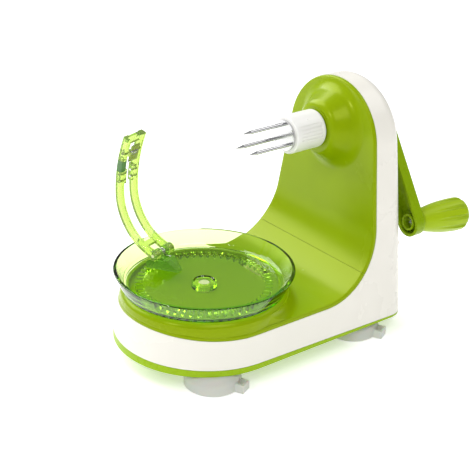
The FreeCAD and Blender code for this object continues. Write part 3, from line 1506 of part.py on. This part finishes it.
lap_length = 10.0 / S.upper_bend
lap_wall = 1.8
lap_low = head_start - lap_length
lap_angles = (head_start - lap_length * 0.25, head_start - lap_length * 0.75)
pin_radius = 0.8
pin_tools = []
for angle in lap_angles:
    place = bend_point(upper_centre, S.upper_bend, angle)
    for low, high in ((across_half - lap_wall - 0.2, outer_half - 1.2),
                      (-outer_half + 1.2, -across_half + lap_wall + 0.2)):
        pin_tools.append(Part.makeCylinder(pin_radius, high - low,
                                           Vector(place[0], low, place[1]), Vector(0, 1, 0)))
arm_shape = arm_shape.cut(pin_tools).removeSplitter()
arm_feature = solid_feature("peeler_arm", arm_shape)
arm_feature.Placement = arm_place
keep(arm_feature, "peeler_arm")

insert_end = math.radians(S.insert_end)
head_solids = [
    band_prism(upper_centre, S.upper_bend, head_start, head_end, leg_half, -outer_half,
               -across_half, S.leg_round),
    band_prism(upper_centre, S.upper_bend, insert_end, head_end, leg_half, across_half,
               outer_half, S.leg_round),
    band_prism(upper_centre, S.upper_bend + 0.8, head_start, insert_end + 0.01, 1.4,
               across_half - 0.1 - lap_wall, across_half - 0.1),
    band_prism(upper_centre, S.upper_bend + 0.8, insert_end, insert_end + 0.01, 1.4,
               across_half - 1.0, across_half + 1.0),
]
for low, high in ((across_half - 0.1 - lap_wall, across_half - 0.1),
                  (-across_half + 0.1, -across_half + 0.1 + lap_wall)):
    head_solids.append(band_prism(upper_centre, S.upper_bend, lap_low, head_start + 0.005,
                                  leg_half - 0.6, low, high))
head_solids.append(band_prism(upper_centre, S.upper_bend, head_start, head_start + 0.02,
                              leg_half - 0.6, -across_half - 1.0, -across_half + 0.1 + lap_wall))
bar_first = head_end - 4.2 / S.upper_bend
head_solids.append(band_prism(upper_centre, S.upper_bend, bar_first, head_end,
                              leg_half - 0.5, -across_half - 1.0, across_half + 1.0))
head_shape = head_solids[0].fuse(head_solids[1:])
blade_angle = math.radians(S.blade_angle)
blade_spot = bend_point(upper_centre, S.upper_bend, blade_angle)
blade_pin_radius = 0.9
head_cuts = pin_tools + [
    Part.makeCylinder(blade_pin_radius, 2 * outer_half - 2.4,
                      Vector(blade_spot[0], -outer_half + 1.2, blade_spot[1]),
                      Vector(0, 1, 0))]
head_shape = head_shape.cut(head_cuts).removeSplitter()
head_feature = solid_feature("blade_head", head_shape)
head_feature.Placement = arm_place
keep(head_feature, "blade_head")
insert_shape = band_prism(upper_centre, S.upper_bend, head_start + 0.1 / S.upper_bend,
                          insert_end - 0.1 / S.upper_bend, leg_half, across_half, outer_half,
                          S.leg_round)
insert_feature = solid_feature("leg_insert", insert_shape)
insert_feature.Placement = arm_place
keep(insert_feature, "leg_insert")

pins_feature = solid_feature("head_pins", Part.makeCompound([tool.copy() for tool in pin_tools]))
pins_feature.Placement = arm_place
keep(pins_feature, "head_pins")

blade_pin_feature = solid_feature("blade_pin", Part.makeCylinder(
    blade_pin_radius, 2 * outer_half - 2.4,
    Vector(blade_spot[0], -outer_half + 1.2, blade_spot[1]), Vector(0, 1, 0)))
blade_pin_feature.Placement = arm_place
keep(blade_pin_feature, "blade_pin")

# Blade: a bent steel plate with a slot, two ears hang it on its pin
blade_half = across_half - 0.5
blade_front = -S.blade_offset
blade_shape = Part.makeBox(S.blade_wall, 2 * blade_half, S.blade_height,
                           Vector(blade_front, -blade_half, -S.blade_height / 2))
slot_box = Part.makeBox(4, 2 * blade_half - 2.4, 2.0, Vector(blade_front - 2, -blade_half + 1.2,
                                                             -1.0))
edge_box = Part.makeBox(1.0, 2 * blade_half - 2.4, 0.7,
                        Vector(blade_front - 0.7, -blade_half + 1.2, 1.0))
blade_shape = blade_shape.fuse(edge_box)
ears = []
for low in (-blade_half, blade_half - S.blade_wall):
    ear = Part.makeBox(S.blade_offset, S.blade_wall, 5.0, Vector(blade_front, low, -2.5))
    ear_end = Part.makeCylinder(2.5, S.blade_wall, Vector(0, low, 0), Vector(0, 1, 0))
    ears += [ear, ear_end]
blade_shape = blade_shape.cut(slot_box).fuse(ears)
blade_shape = blade_shape.cut(Part.makeCylinder(blade_pin_radius + S.shaft_fit, 2 * outer_half,
                                                Vector(0, -outer_half, 0), Vector(0, 1, 0)))
blade_feature = solid_feature("blade", blade_shape.removeSplitter())
blade_tilt = Rotation(Vector(0, 1, 0), -S.blade_angle)
blade_feature.Placement = arm_place.multiply(
    Placement(Vector(blade_spot[0], 0, blade_spot[1]), blade_tilt))
keep(blade_feature, "blade")

# Bracket on the bowl's floor: a wedge that narrows to the centre, with two lugs
wedge_inner = S.hinge_reach - 15.5
wedge_outer = S.hinge_reach + 6.0
lug_outer = across_half - 0.4
lug_wall = 1.8
lug_radius = eye_radius
lug_inner = lug_outer - lug_wall
wedge_plan = Part.makePolygon([
    Vector(wedge_inner, -2.6, S.bowl_floor), Vector(wedge_outer, -9.0, S.bowl_floor),
    Vector(wedge_outer, 9.0, S.bowl_floor), Vector(wedge_inner, 2.6, S.bowl_floor),
    Vector(wedge_inner, -2.6, S.bowl_floor)])
wedge = Part.Face(wedge_plan).extrude(Vector(0, 0, 12.0))
under_eye = hinge_height - eye_radius - 0.5
coil_bottom = hinge_height - S.spring_coil - S.spring_wire / 2
wedge_side = Part.makePolygon([
    Vector(wedge_inner, -15, S.bowl_floor), Vector(wedge_outer, -15, S.bowl_floor),
    Vector(wedge_outer, -15, under_eye - 1.4), Vector(S.hinge_reach + 4, -15, under_eye),
    Vector(S.hinge_reach - 5.4, -15, under_eye), Vector(S.hinge_reach - 5.4, -15, coil_bottom),
    Vector(S.hinge_reach - 8.0, -15, coil_bottom),
    Vector(wedge_inner + 0.8, -15, S.bowl_floor + 1.6), Vector(wedge_inner, -15, S.bowl_floor)])
wedge = wedge.common(Part.Face(wedge_side).extrude(Vector(0, 30, 0)))
bracket_shape = wedge
for low in (lug_inner, -lug_outer):
    lug = Part.makeCylinder(lug_radius, lug_wall, Vector(S.hinge_reach, low, hinge_height),
                            Vector(0, 1, 0))
    web = Part.makeBox(2 * lug_radius, lug_wall, hinge_height - S.bowl_floor - 1.0,
                       Vector(S.hinge_reach - lug_radius, low, S.bowl_floor + 1.0))
    bracket_shape = bracket_shape.fuse([lug, web])
bracket_shape = bracket_shape.cut(Part.makeCylinder(
    S.hinge_pin_radius, 2 * outer_half, Vector(S.hinge_reach, -outer_half, hinge_height),
    Vector(0, 1, 0)))
bracket_feature = solid_feature("arm_bracket", bracket_shape.removeSplitter())
bracket_feature.Placement = arm_place
keep(bracket_feature, "arm_bracket")

pin_feature = solid_feature("hinge_pin", Part.makeCylinder(
    S.hinge_pin_radius, 2 * outer_half, Vector(S.hinge_reach, -outer_half, hinge_height),
    Vector(0, 1, 0)))
pin_feature.Placement = arm_place
keep(pin_feature, "hinge_pin")


# Hinge spring: coils round the pin, one end on the wedge and one on the arm's bridge
def biarc(start, start_tangent, end, end_tangent):
    """Two arcs that leave start and reach end along the given directions."""
    chord = end - start
    total = start_tangent + end_tangent
    spread = 2 * (1 - start_tangent.dot(end_tangent))
    reach = (-chord.dot(total) + math.sqrt(chord.dot(total) ** 2
                                           + spread * chord.dot(chord))) / spread
    joint = (start + end + (start_tangent - end_tangent) * reach) * 0.5
    arcs = []
    for tail, tangent_there, head in ((start, start_tangent, joint), (end, end_tangent, joint)):
        span = head - tail
        normal = span - tangent_there * span.dot(tangent_there)
        normal.normalize()
        radius = span.dot(span) / (2 * span.dot(normal))
        centre = tail + normal * radius
        middle = tail + span * 0.5 - centre
        middle.normalize()
        arcs.append((tail, centre + middle * radius, head))
    first = Part.Arc(arcs[0][0], arcs[0][1], arcs[0][2]).toShape()
    second = Part.Arc(arcs[1][2], arcs[1][1], arcs[1][0]).toShape()
    return [first, second]


coil_radius = S.spring_coil
spring_clearance = 0.25
spring_rest = lower_bend + bridge_half + S.spring_wire / 2 + spring_clearance
bridge_middle = bend_point(lower_centre, spring_rest, (bridge_first + bridge_last) / 2)
bridge_reach = Vector(bridge_middle[0] - S.hinge_reach, bridge_middle[1] - hinge_height, 0)
leg_run = math.sqrt(bridge_reach.Length ** 2 - coil_radius ** 2)
coil_start = math.radians(-90)
coil_end = math.atan2(bridge_reach.y, bridge_reach.x) - math.acos(
    coil_radius / bridge_reach.Length)
coil_turns = 2 + (coil_end - coil_start) / (2 * math.pi)
coil_half = S.spring_pitch * coil_turns / 2


def coil_point(turn):
    angle = 2 * math.pi * turn + coil_start
    return Vector(S.hinge_reach + coil_radius * math.cos(angle),
                  -coil_half + S.spring_pitch * turn,
                  hinge_height + coil_radius * math.sin(angle))


def coil_tangent(turn):
    angle = 2 * math.pi * turn + coil_start
    direction = Vector(-coil_radius * 2 * math.pi * math.sin(angle), S.spring_pitch,
                       coil_radius * 2 * math.pi * math.cos(angle))
    return direction.normalize()


spring_start = coil_point(0) - coil_tangent(0) * 6.5
spring_edges = [Part.makeLine(spring_start, coil_point(0))]
coil_pieces = 9
for index in range(coil_pieces):
    first = coil_turns * index / coil_pieces
    last = coil_turns * (index + 1) / coil_pieces
    spring_edges += biarc(coil_point(first), coil_tangent(first), coil_point(last),
                          coil_tangent(last))
spring_end = coil_point(coil_turns)
spring_edges.append(Part.makeLine(spring_end, spring_end + coil_tangent(coil_turns) * leg_run))
spring_path = Part.Wire(spring_edges)
spring_circle = Part.Wire([Part.makeCircle(S.spring_wire / 2, spring_start, coil_tangent(0))])
spring_shape = spring_path.makePipeShell([spring_circle], True, False)
print("spring: coil gap %.2f mm" % (S.spring_pitch - S.spring_wire))
spring_feature = solid_feature("arm_spring", spring_shape)
spring_feature.Placement = arm_place
keep(spring_feature, "arm_spring")

doc.recompute()
for thing in doc.Objects:
    if "Invalid" in thing.State or "Error" in thing.State:
        raise RuntimeError("%s: %s" % (thing.Name, thing.State))
for node_name, feature in nodes.items():
    if feature.Shape.isNull() or not feature.Shape.isValid():
        raise RuntimeError(node_name + " has no valid shape")

# The pieces were drawn from the bowl's axis. Each is moved so that the middle of the whole
# peeler's length and width stands over the origin.


def reach(node_name, side):
    return getattr(nodes[node_name].Shape.optimalBoundingBox(False), side)


middle_x = round((reach("bottom_plate", "XMin") + reach("crank_knob", "XMax")) / 2, 1)
middle_y = round((reach("suction_foot_front_near", "YMin") + reach("peeler_arm", "YMax")) / 2, 1)
print("the bowl's axis is at X = %.1f, Y = %.1f" % (-middle_x, -middle_y))
for feature in nodes.values():
    feature.Placement = Placement(Vector(-middle_x, -middle_y, 0),
                                  Rotation()).multiply(feature.Placement)

os.makedirs("parts", exist_ok=True)
for node_name, feature in nodes.items():
    shape = feature.Shape
    print("%-26s solids %d  volume %.1f" % (node_name, len(shape.Solids), shape.Volume))
    shape.exportStep("parts/%s.step" % node_name)
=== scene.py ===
import bpy
from mathutils import Matrix, Vector


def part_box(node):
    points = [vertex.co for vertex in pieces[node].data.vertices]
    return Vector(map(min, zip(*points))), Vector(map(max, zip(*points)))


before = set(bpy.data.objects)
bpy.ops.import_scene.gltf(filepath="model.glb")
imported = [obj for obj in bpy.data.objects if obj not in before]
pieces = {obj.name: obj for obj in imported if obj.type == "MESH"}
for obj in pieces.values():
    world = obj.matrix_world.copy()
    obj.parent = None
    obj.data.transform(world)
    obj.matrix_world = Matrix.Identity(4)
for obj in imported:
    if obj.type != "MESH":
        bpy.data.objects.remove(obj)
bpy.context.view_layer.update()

# White case: the shell of the base and the tower, one moulding in glossy ABS, warm white.
# It stands on the bottom plate, and the green covers close it from above and in front.


class Wire:
    """A shader socket that takes part in sums and products. Each adds its Math node."""

    def __init__(self, finish, socket):
        self.finish = finish
        self.socket = socket

    def __add__(self, other):
        return self.finish.math("ADD", self, other)

    def __mul__(self, other):
        return self.finish.math("MULTIPLY", self, other)

    __radd__ = __add__
    __rmul__ = __mul__


class Finish:
    """A surface finish: one Principled shader whose plain values stand on its own sockets."""

    def __init__(self, name, **values):
        self.material = bpy.data.materials.new(name)
        self.material.use_nodes = True
        self.tree = self.material.node_tree
        self.shader = self.tree.nodes["Principled BSDF"]
        for socket, value in values.items():
            self.shader.inputs[socket.replace("_", " ")].default_value = value

    def node(self, kind, settings=None, inputs=None, output=0):
        """Adds a node: its settings first, then the values or links of its sockets."""
        made = self.tree.nodes.new(kind)
        for setting, value in (settings or {}).items():
            setattr(made, setting, value)
        for socket, value in (inputs or {}).items():
            self.join(value, made.inputs[socket])
        return Wire(self, made.outputs[output])

    def math(self, operation, first, second):
        return self.node("ShaderNodeMath", {"operation": operation}, {0: first, 1: second})

    def join(self, value, socket):
        """Links a wire to a socket, or sets a plain value on it."""
        if isinstance(value, Wire):
            self.tree.links.new(value.socket, socket)
        else:
            socket.default_value = value

    def feed(self, socket, value):
        """Gives the shader's own socket a wire or a plain value."""
        self.join(value, self.shader.inputs[socket])

    def grain(self, lumps, detail=3.0, lay=None, swirl=0.0):
        """Noise on the object's own coordinates, from 0 to 1, with the given number of lumps
        to the metre. A lay stretches the lumps along the axes where it is small, and swirl
        folds them."""
        place = self.node("ShaderNodeTexCoord", output="Object")
        if lay:
            place = self.node("ShaderNodeVectorMath", {"operation": "MULTIPLY"},
                              {0: place, 1: lay})
        return self.node("ShaderNodeTexNoise", inputs={
            "Vector": place, "Scale": lumps, "Detail": detail, "Distortion": swirl})

    def patches(self, share, low, high):
        """A share cut down to soft-edged patches: 0 below low and 1 above high."""
        return self.node("ShaderNodeMapRange", {"interpolation_type": "SMOOTHSTEP"},
                         {"Value": share, "From Min": low, "From Max": high})

    def tone(self, share, low, high):
        """A colour between two, by a share from 0 to 1. The Mix node has its colours on its
        sockets 6 and 7, and gives the result on its output 2."""
        return self.node("ShaderNodeMix", {"data_type": "RGBA"},
                         {"Factor": share, 6: low, 7: high}, output=2)

    def bump(self, height, depth, strength=1.0):
        """Feeds a relief of the given depth in metres to the shader's normal."""
        self.feed("Normal", self.node("ShaderNodeBump", inputs={
            "Height": height, "Distance": depth, "Strength": strength}))


def srgb(red, green, blue):
    """A screen colour, 0 to 255, as the linear colour that the shader takes, by the curve
    that the sRGB standard gives."""
    linear = []
    for part in (red, green, blue):
        share = part / 255
        linear.append(share / 12.92 if share <= 0.04045 else ((share + 0.055) / 1.055) ** 2.4)
    return (*linear, 1.0)


def dress(finish, *names):
    """Gives pieces of the frame a finish, by their own material slots."""
    for name in names:
        for slot in pieces[name].material_slots:
            slot.material = finish.material


def moulded(name, low, high, gloss, **values):
    """An injection moulding: its colour drifts with the melt's flow and has fine specks of
    pigment, its polish is dulled by wipe marks in patches, and its skin has slow sink marks
    under a fine orange peel."""
    finish = Finish(name, **values)
    flow = finish.grain(lumps=26, detail=2.0, swirl=0.6)
    specks = finish.patches(finish.grain(lumps=1900, detail=1.0), low=0.68, high=0.8)
    speck_share = 0.15
    melt = flow * (1 - speck_share) + specks * speck_share
    finish.feed("Base Color", finish.tone(melt, low, high))
    wipe_marks = finish.grain(lumps=18, lay=(1.0, 0.4, 0.7), swirl=0.8)
    wiped = finish.patches(wipe_marks, low=0.5, high=0.68)
    mould_polish = gloss - 0.03
    wear_loss = 0.05
    wipe_loss = 0.06
    finish.feed("Roughness", mould_polish + wear_loss * finish.grain(lumps=240)
                + wipe_loss * wiped)
    sink_marks = finish.grain(lumps=55, detail=1.0)
    orange_peel = finish.grain(lumps=1500)
    peel_share = 0.06
    finish.bump(sink_marks + peel_share * orange_peel, depth=0.00003)
    return finish


white_abs = moulded("white_abs", srgb(239, 236, 226), srgb(244, 241, 232), 0.26, IOR=1.52)
dress(white_abs, "white_shell")

# Bottom plate and screws: a green tray that closes the case from below. Four zinc-plated
# pan-head screws hold it to the posts under the deck.
lime_abs = moulded("lime_abs", srgb(148, 184, 14), srgb(154, 190, 20), 0.28,
                   Specular_IOR_Level=0.4, Specular_Tint=(0.9, 1.0, 0.4, 1))
dress(lime_abs, "bottom_plate")


def metal(name, colour, gloss, scratches=900, lay=None):
    """Bright metal of a linear colour, with a thin uneven film that darkens it, and fine
    scratches along its lay, so many to the metre."""
    finish = Finish(name, Metallic=1.0)
    film_share = 0.88
    filmed = tuple(film_share * part for part in colour)
    film = finish.grain(lumps=120, detail=2.0)
    finish.feed("Base Color", finish.tone(film, (*colour, 1.0), (*filmed, 1.0)))
    scratch_loss = 0.08
    finish.feed("Roughness", gloss + scratch_loss * finish.grain(scratches, lay=lay))
    finish.bump(finish.grain(scratches, detail=2.0, lay=lay), depth=0.000006, strength=0.3)
    return finish


zinc_plate = metal("zinc_plate", (0.62, 0.63, 0.65), 0.25)
dress(zinc_plate, "base_screws", "rear_screws", "gear_plate_screws")

# Suction feet: cups of cloudy soft PVC with a pull tab, their stems pressed through the
# bottom plate.
cloudy_pvc = Finish("cloudy_pvc", IOR=1.45, Transmission_Weight=0.35, Subsurface_Weight=0.3,
                    Subsurface_Scale=0.004)
cloud = cloudy_pvc.grain(lumps=90)
cloudy_pvc.feed("Base Color", cloudy_pvc.tone(cloud, srgb(227, 229, 220), srgb(236, 238, 230)))
cup_gloss = 0.34
cup_wear_loss = 0.12
cloudy_pvc.feed("Roughness", cup_gloss + cup_wear_loss * cloudy_pvc.grain(lumps=300))
cup_waves = cloudy_pvc.grain(lumps=160, detail=2.0)
cup_skin = cloudy_pvc.grain(lumps=1800)
cup_skin_share = 0.2
cloudy_pvc.bump(cup_waves + cup_skin_share * cup_skin, depth=0.00005)
dress(cloudy_pvc, "suction_foot_front_near", "suction_foot_front_far",
      "suction_foot_rear_near", "suction_foot_rear_far")

# Green covers: the deck with the bowl's pedestal, and the tower's face with the boss round
# the spindle. Satin ABS, screwed down from below and from behind.
green_abs = moulded("green_abs", srgb(136, 162, 2), srgb(142, 167, 4), 0.25,
                    Specular_IOR_Level=0.4, Specular_Tint=(0.95, 1.0, 0.2, 1))
dress(green_abs, "base_cover", "tower_cover")

# Gear plate, axles and lower shaft: a stamped steel plate on four posts holds the front ends
# of the two upper axles. All three axles are pressed into bosses at the case's back.
rolled_steel = metal("rolled_steel", (0.55, 0.55, 0.56), 0.3)
dress(rolled_steel, "gear_plate", "upper_gear_axle", "lower_gear_axle", "idler_axle",
      "lower_shaft", "pivot_nut")

# Gears, bushes and the bowl's pivot: moulded in natural acetal, milky and a little waxy. The
# bushes are pressed into their bosses, and a nut under the deck holds the pivot.
acetal = moulded("acetal", srgb(228, 226, 216), srgb(236, 234, 226), 0.4, IOR=1.48,
                 Subsurface_Weight=0.1, Subsurface_Scale=0.002)
dress(acetal, "upper_compound_gear", "lower_compound_gear", "idler_gear", "lower_wheel",
      "crown_pinion", "spindle_pinion", "front_bush", "rear_bush", "lower_front_bush",
      "lower_rear_bush", "bowl_pivot")

# Spindle, hub and fork: a ground steel spindle through both bushes, a clip that keeps it,
# and a fork with three pointed prongs. The white hub round them is moulded with grooves.
ground_steel = metal("ground_steel", (0.66, 0.66, 0.67), 0.14, scratches=1600,
                     lay=(0.03, 1.0, 1.0))
dress(ground_steel, "spindle_shaft", "shaft_clip", "fruit_fork")
hub_white = moulded("hub_white", srgb(240, 239, 235), srgb(246, 245, 241), 0.3, IOR=1.52)
dress(hub_white, "fork_hub")

# Crank: a green channel moulding, screwed to the spindle's end, and the chrome shoulder
# screw that the knob turns on.
crank_abs = moulded("crank_abs", srgb(132, 164, 4), srgb(138, 170, 6), 0.28,
                    Specular_IOR_Level=0.3, Specular_Tint=(0.9, 1.0, 0.3, 1))
dress(crank_abs, "crank_arm")
chrome_plate = metal("chrome_plate", (0.72, 0.73, 0.75), 0.08, scratches=1400)
dress(chrome_plate, "crank_screw", "knob_axle")

# Knob: a lighter green moulding with soft flutes, in the same plastic as the crank. It turns
# freely on its shoulder screw.
knob_abs = moulded("knob_abs", srgb(160, 188, 16), srgb(168, 196, 22), 0.3,
                   Specular_IOR_Level=0.4, Specular_Tint=(0.9, 1.0, 0.4, 1))
dress(knob_abs, "crank_knob")


# Bowl: a clear green dish of styrene-acrylonitrile with a ring of crown teeth under its
# floor. It turns on the pivot in the middle of the pedestal.
def clear(name, body, dye, density, gloss, share=1.0, bend=1.5):
    """Clear moulded plastic in linear colours: the dye in it deepens with its thickness, its
    polished skin has a few slow ripples, and the lamps' light falls through it on what is
    behind. A share below 1 leaves some haze of the body's own colour, and bend is its
    refractive index."""
    finish = Finish(name, IOR=bend, Transmission_Weight=share)
    pale_share = 0.3
    paler = tuple(part + pale_share * (1 - part) for part in body)
    drift = finish.grain(lumps=40, detail=2.0)
    finish.feed("Base Color", finish.tone(drift, (*body, 1.0), (*paler, 1.0)))
    wear_loss = 0.03
    finish.feed("Roughness", gloss + wear_loss * finish.grain(lumps=200))
    finish.bump(finish.grain(lumps=90, detail=1.0), depth=0.00004)
    output = finish.tree.nodes["Material Output"]
    finish.join(finish.node("ShaderNodeVolumeAbsorption", inputs={
        "Color": (*dye, 1.0), "Density": density}), output.inputs["Volume"])
    seen = Wire(finish, finish.shader.outputs["BSDF"])
    let_through = finish.node("ShaderNodeBsdfTransparent", inputs={
        "Color": (0.95, 0.98, 0.92, 1)})
    lamp_ray = finish.node("ShaderNodeLightPath", output="Is Shadow Ray")
    soft_ray = finish.node("ShaderNodeLightPath", output="Is Diffuse Ray")
    finish.join(finish.node("ShaderNodeMixShader", inputs={
        "Fac": finish.math("MAXIMUM", lamp_ray, soft_ray), 1: seen, 2: let_through}),
        output.inputs["Surface"])
    return finish


bowl_clear = clear("bowl_clear_green", (0.96, 1.0, 0.88), dye=(0.82, 0.96, 0.22), density=280,
                   gloss=0.02, bend=1.46)
dress(bowl_clear, "bowl")

# Bracket, hinge pin and spring: the bracket is welded to the bowl's floor, and the pin
# carries the arm and a coiled wire spring that leans it inwards.
bracket_clear = clear("bracket_clear_green", (0.38, 0.66, 0.06), dye=(0.7, 0.9, 0.05),
                      density=160, gloss=0.04, share=0.8, bend=1.2)
dress(bracket_clear, "arm_bracket")
drawn_wire = metal("drawn_wire", (0.64, 0.64, 0.65), 0.18, scratches=1200)
dress(drawn_wire, "hinge_pin", "arm_spring")

# Peeling arm: two clear lime legs and a head that laps between them and is pinned to them.
# Moulded polycarbonate, with a darker insert in one side of the head.
arm_clear = clear("arm_clear_lime", (0.74, 0.87, 0.32), dye=(0.70, 0.87, 0.08), density=180,
                  gloss=0.03, share=0.88, bend=1.4)
dress(arm_clear, "peeler_arm", "blade_head")
insert_clear = clear("insert_clear_green", (0.04, 0.22, 0.005), dye=(0.52, 0.77, 0.05),
                     density=300, gloss=0.08, share=0.3, bend=1.3)
dress(insert_clear, "leg_insert")
dress(drawn_wire, "head_pins", "blade_pin")

# Blade: a strip of hardened steel with a slot and a honed edge. Two ears are bent back from
# it, and hang it on its pin.
honed_steel = metal("honed_steel", (0.70, 0.70, 0.71), 0.16, scratches=1400,
                    lay=(1.0, 1.0, 0.04))
dress(honed_steel, "blade")

# Studio: a pale floor out to the edge of the view, four soft lights and a white room.
# The camera stands where the photograph's stood, seen from the bowl's axis.
bowl_low, bowl_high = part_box("bowl")
bowl_axis = (bowl_low + bowl_high) / 2


def from_bowl(x, y, z):
    """A place counted from the bowl's axis on the table."""
    return Vector((bowl_axis.x + x, bowl_axis.y + y, z))


camera_data = bpy.data.cameras.new("camera")
camera_data.sensor_width = 36.0
camera_data.lens = 96.5
camera = bpy.data.objects.new("camera", camera_data)
bpy.context.scene.collection.objects.link(camera)
look_right = Vector((0.78871, -0.61424, 0.02550))
look_up = Vector((0.24234, 0.34877, 0.90534))
look_back = look_right.cross(look_up)
stance = Matrix((look_right, look_up, look_back)).transposed().to_4x4()
camera.matrix_world = Matrix.Translation(from_bowl(-0.44762, -0.59205, 0.43081)) @ stance
bpy.context.scene.camera = camera

paper = Finish("studio_paper", Roughness=0.9, Emission_Color=(1, 1, 1, 1),
               Emission_Strength=0.4)
paper.feed("Base Color", paper.tone(paper.grain(lumps=3), (0.9, 0.9, 0.9, 1),
                                    (0.92, 0.92, 0.92, 1)))
floor_reach = 20.0
floor_corners = [(-floor_reach, -floor_reach, 0), (floor_reach, -floor_reach, 0),
                 (floor_reach, floor_reach, 0), (-floor_reach, floor_reach, 0)]
floor_mesh = bpy.data.meshes.new("floor")
floor_mesh.from_pydata(floor_corners, [], [(0, 1, 2, 3)])
floor_mesh.materials.append(paper.material)
floor = bpy.data.objects.new("floor", floor_mesh)
bpy.context.scene.collection.objects.link(floor)

world = bpy.data.worlds.new("studio")
world.use_nodes = True
room = world.node_tree.nodes["Background"].inputs
room["Color"].default_value = (1, 1, 1, 1)
room["Strength"].default_value = 0.28
bpy.context.scene.world = world

peeler_middle = from_bowl(0.05, 0, 0.06)


def soft_light(name, place, size, power):
    """A square area light of a side in metres and a power in watts, turned to the peeler."""
    data = bpy.data.lights.new(name, "AREA")
    data.size = size
    data.energy = power
    lamp = bpy.data.objects.new(name, data)
    lamp.location = place
    lamp.rotation_mode = "QUATERNION"
    lamp.rotation_quaternion = (peeler_middle - place).to_track_quat("-Z", "Y")
    bpy.context.scene.collection.objects.link(lamp)


soft_light("key", from_bowl(-0.95, -0.13, 0.88), size=0.14, power=2.4)
soft_light("back_window", from_bowl(-0.25, 0.87, 0.83), size=1.0, power=15)
soft_light("front_window", from_bowl(-0.15, -0.7, 1.0), size=0.6, power=4.3)
soft_light("side_light", from_bowl(0.8, -0.25, 1.0), size=0.7, power=2.8)
bpy.context.scene.view_settings.view_transform = "Standard"
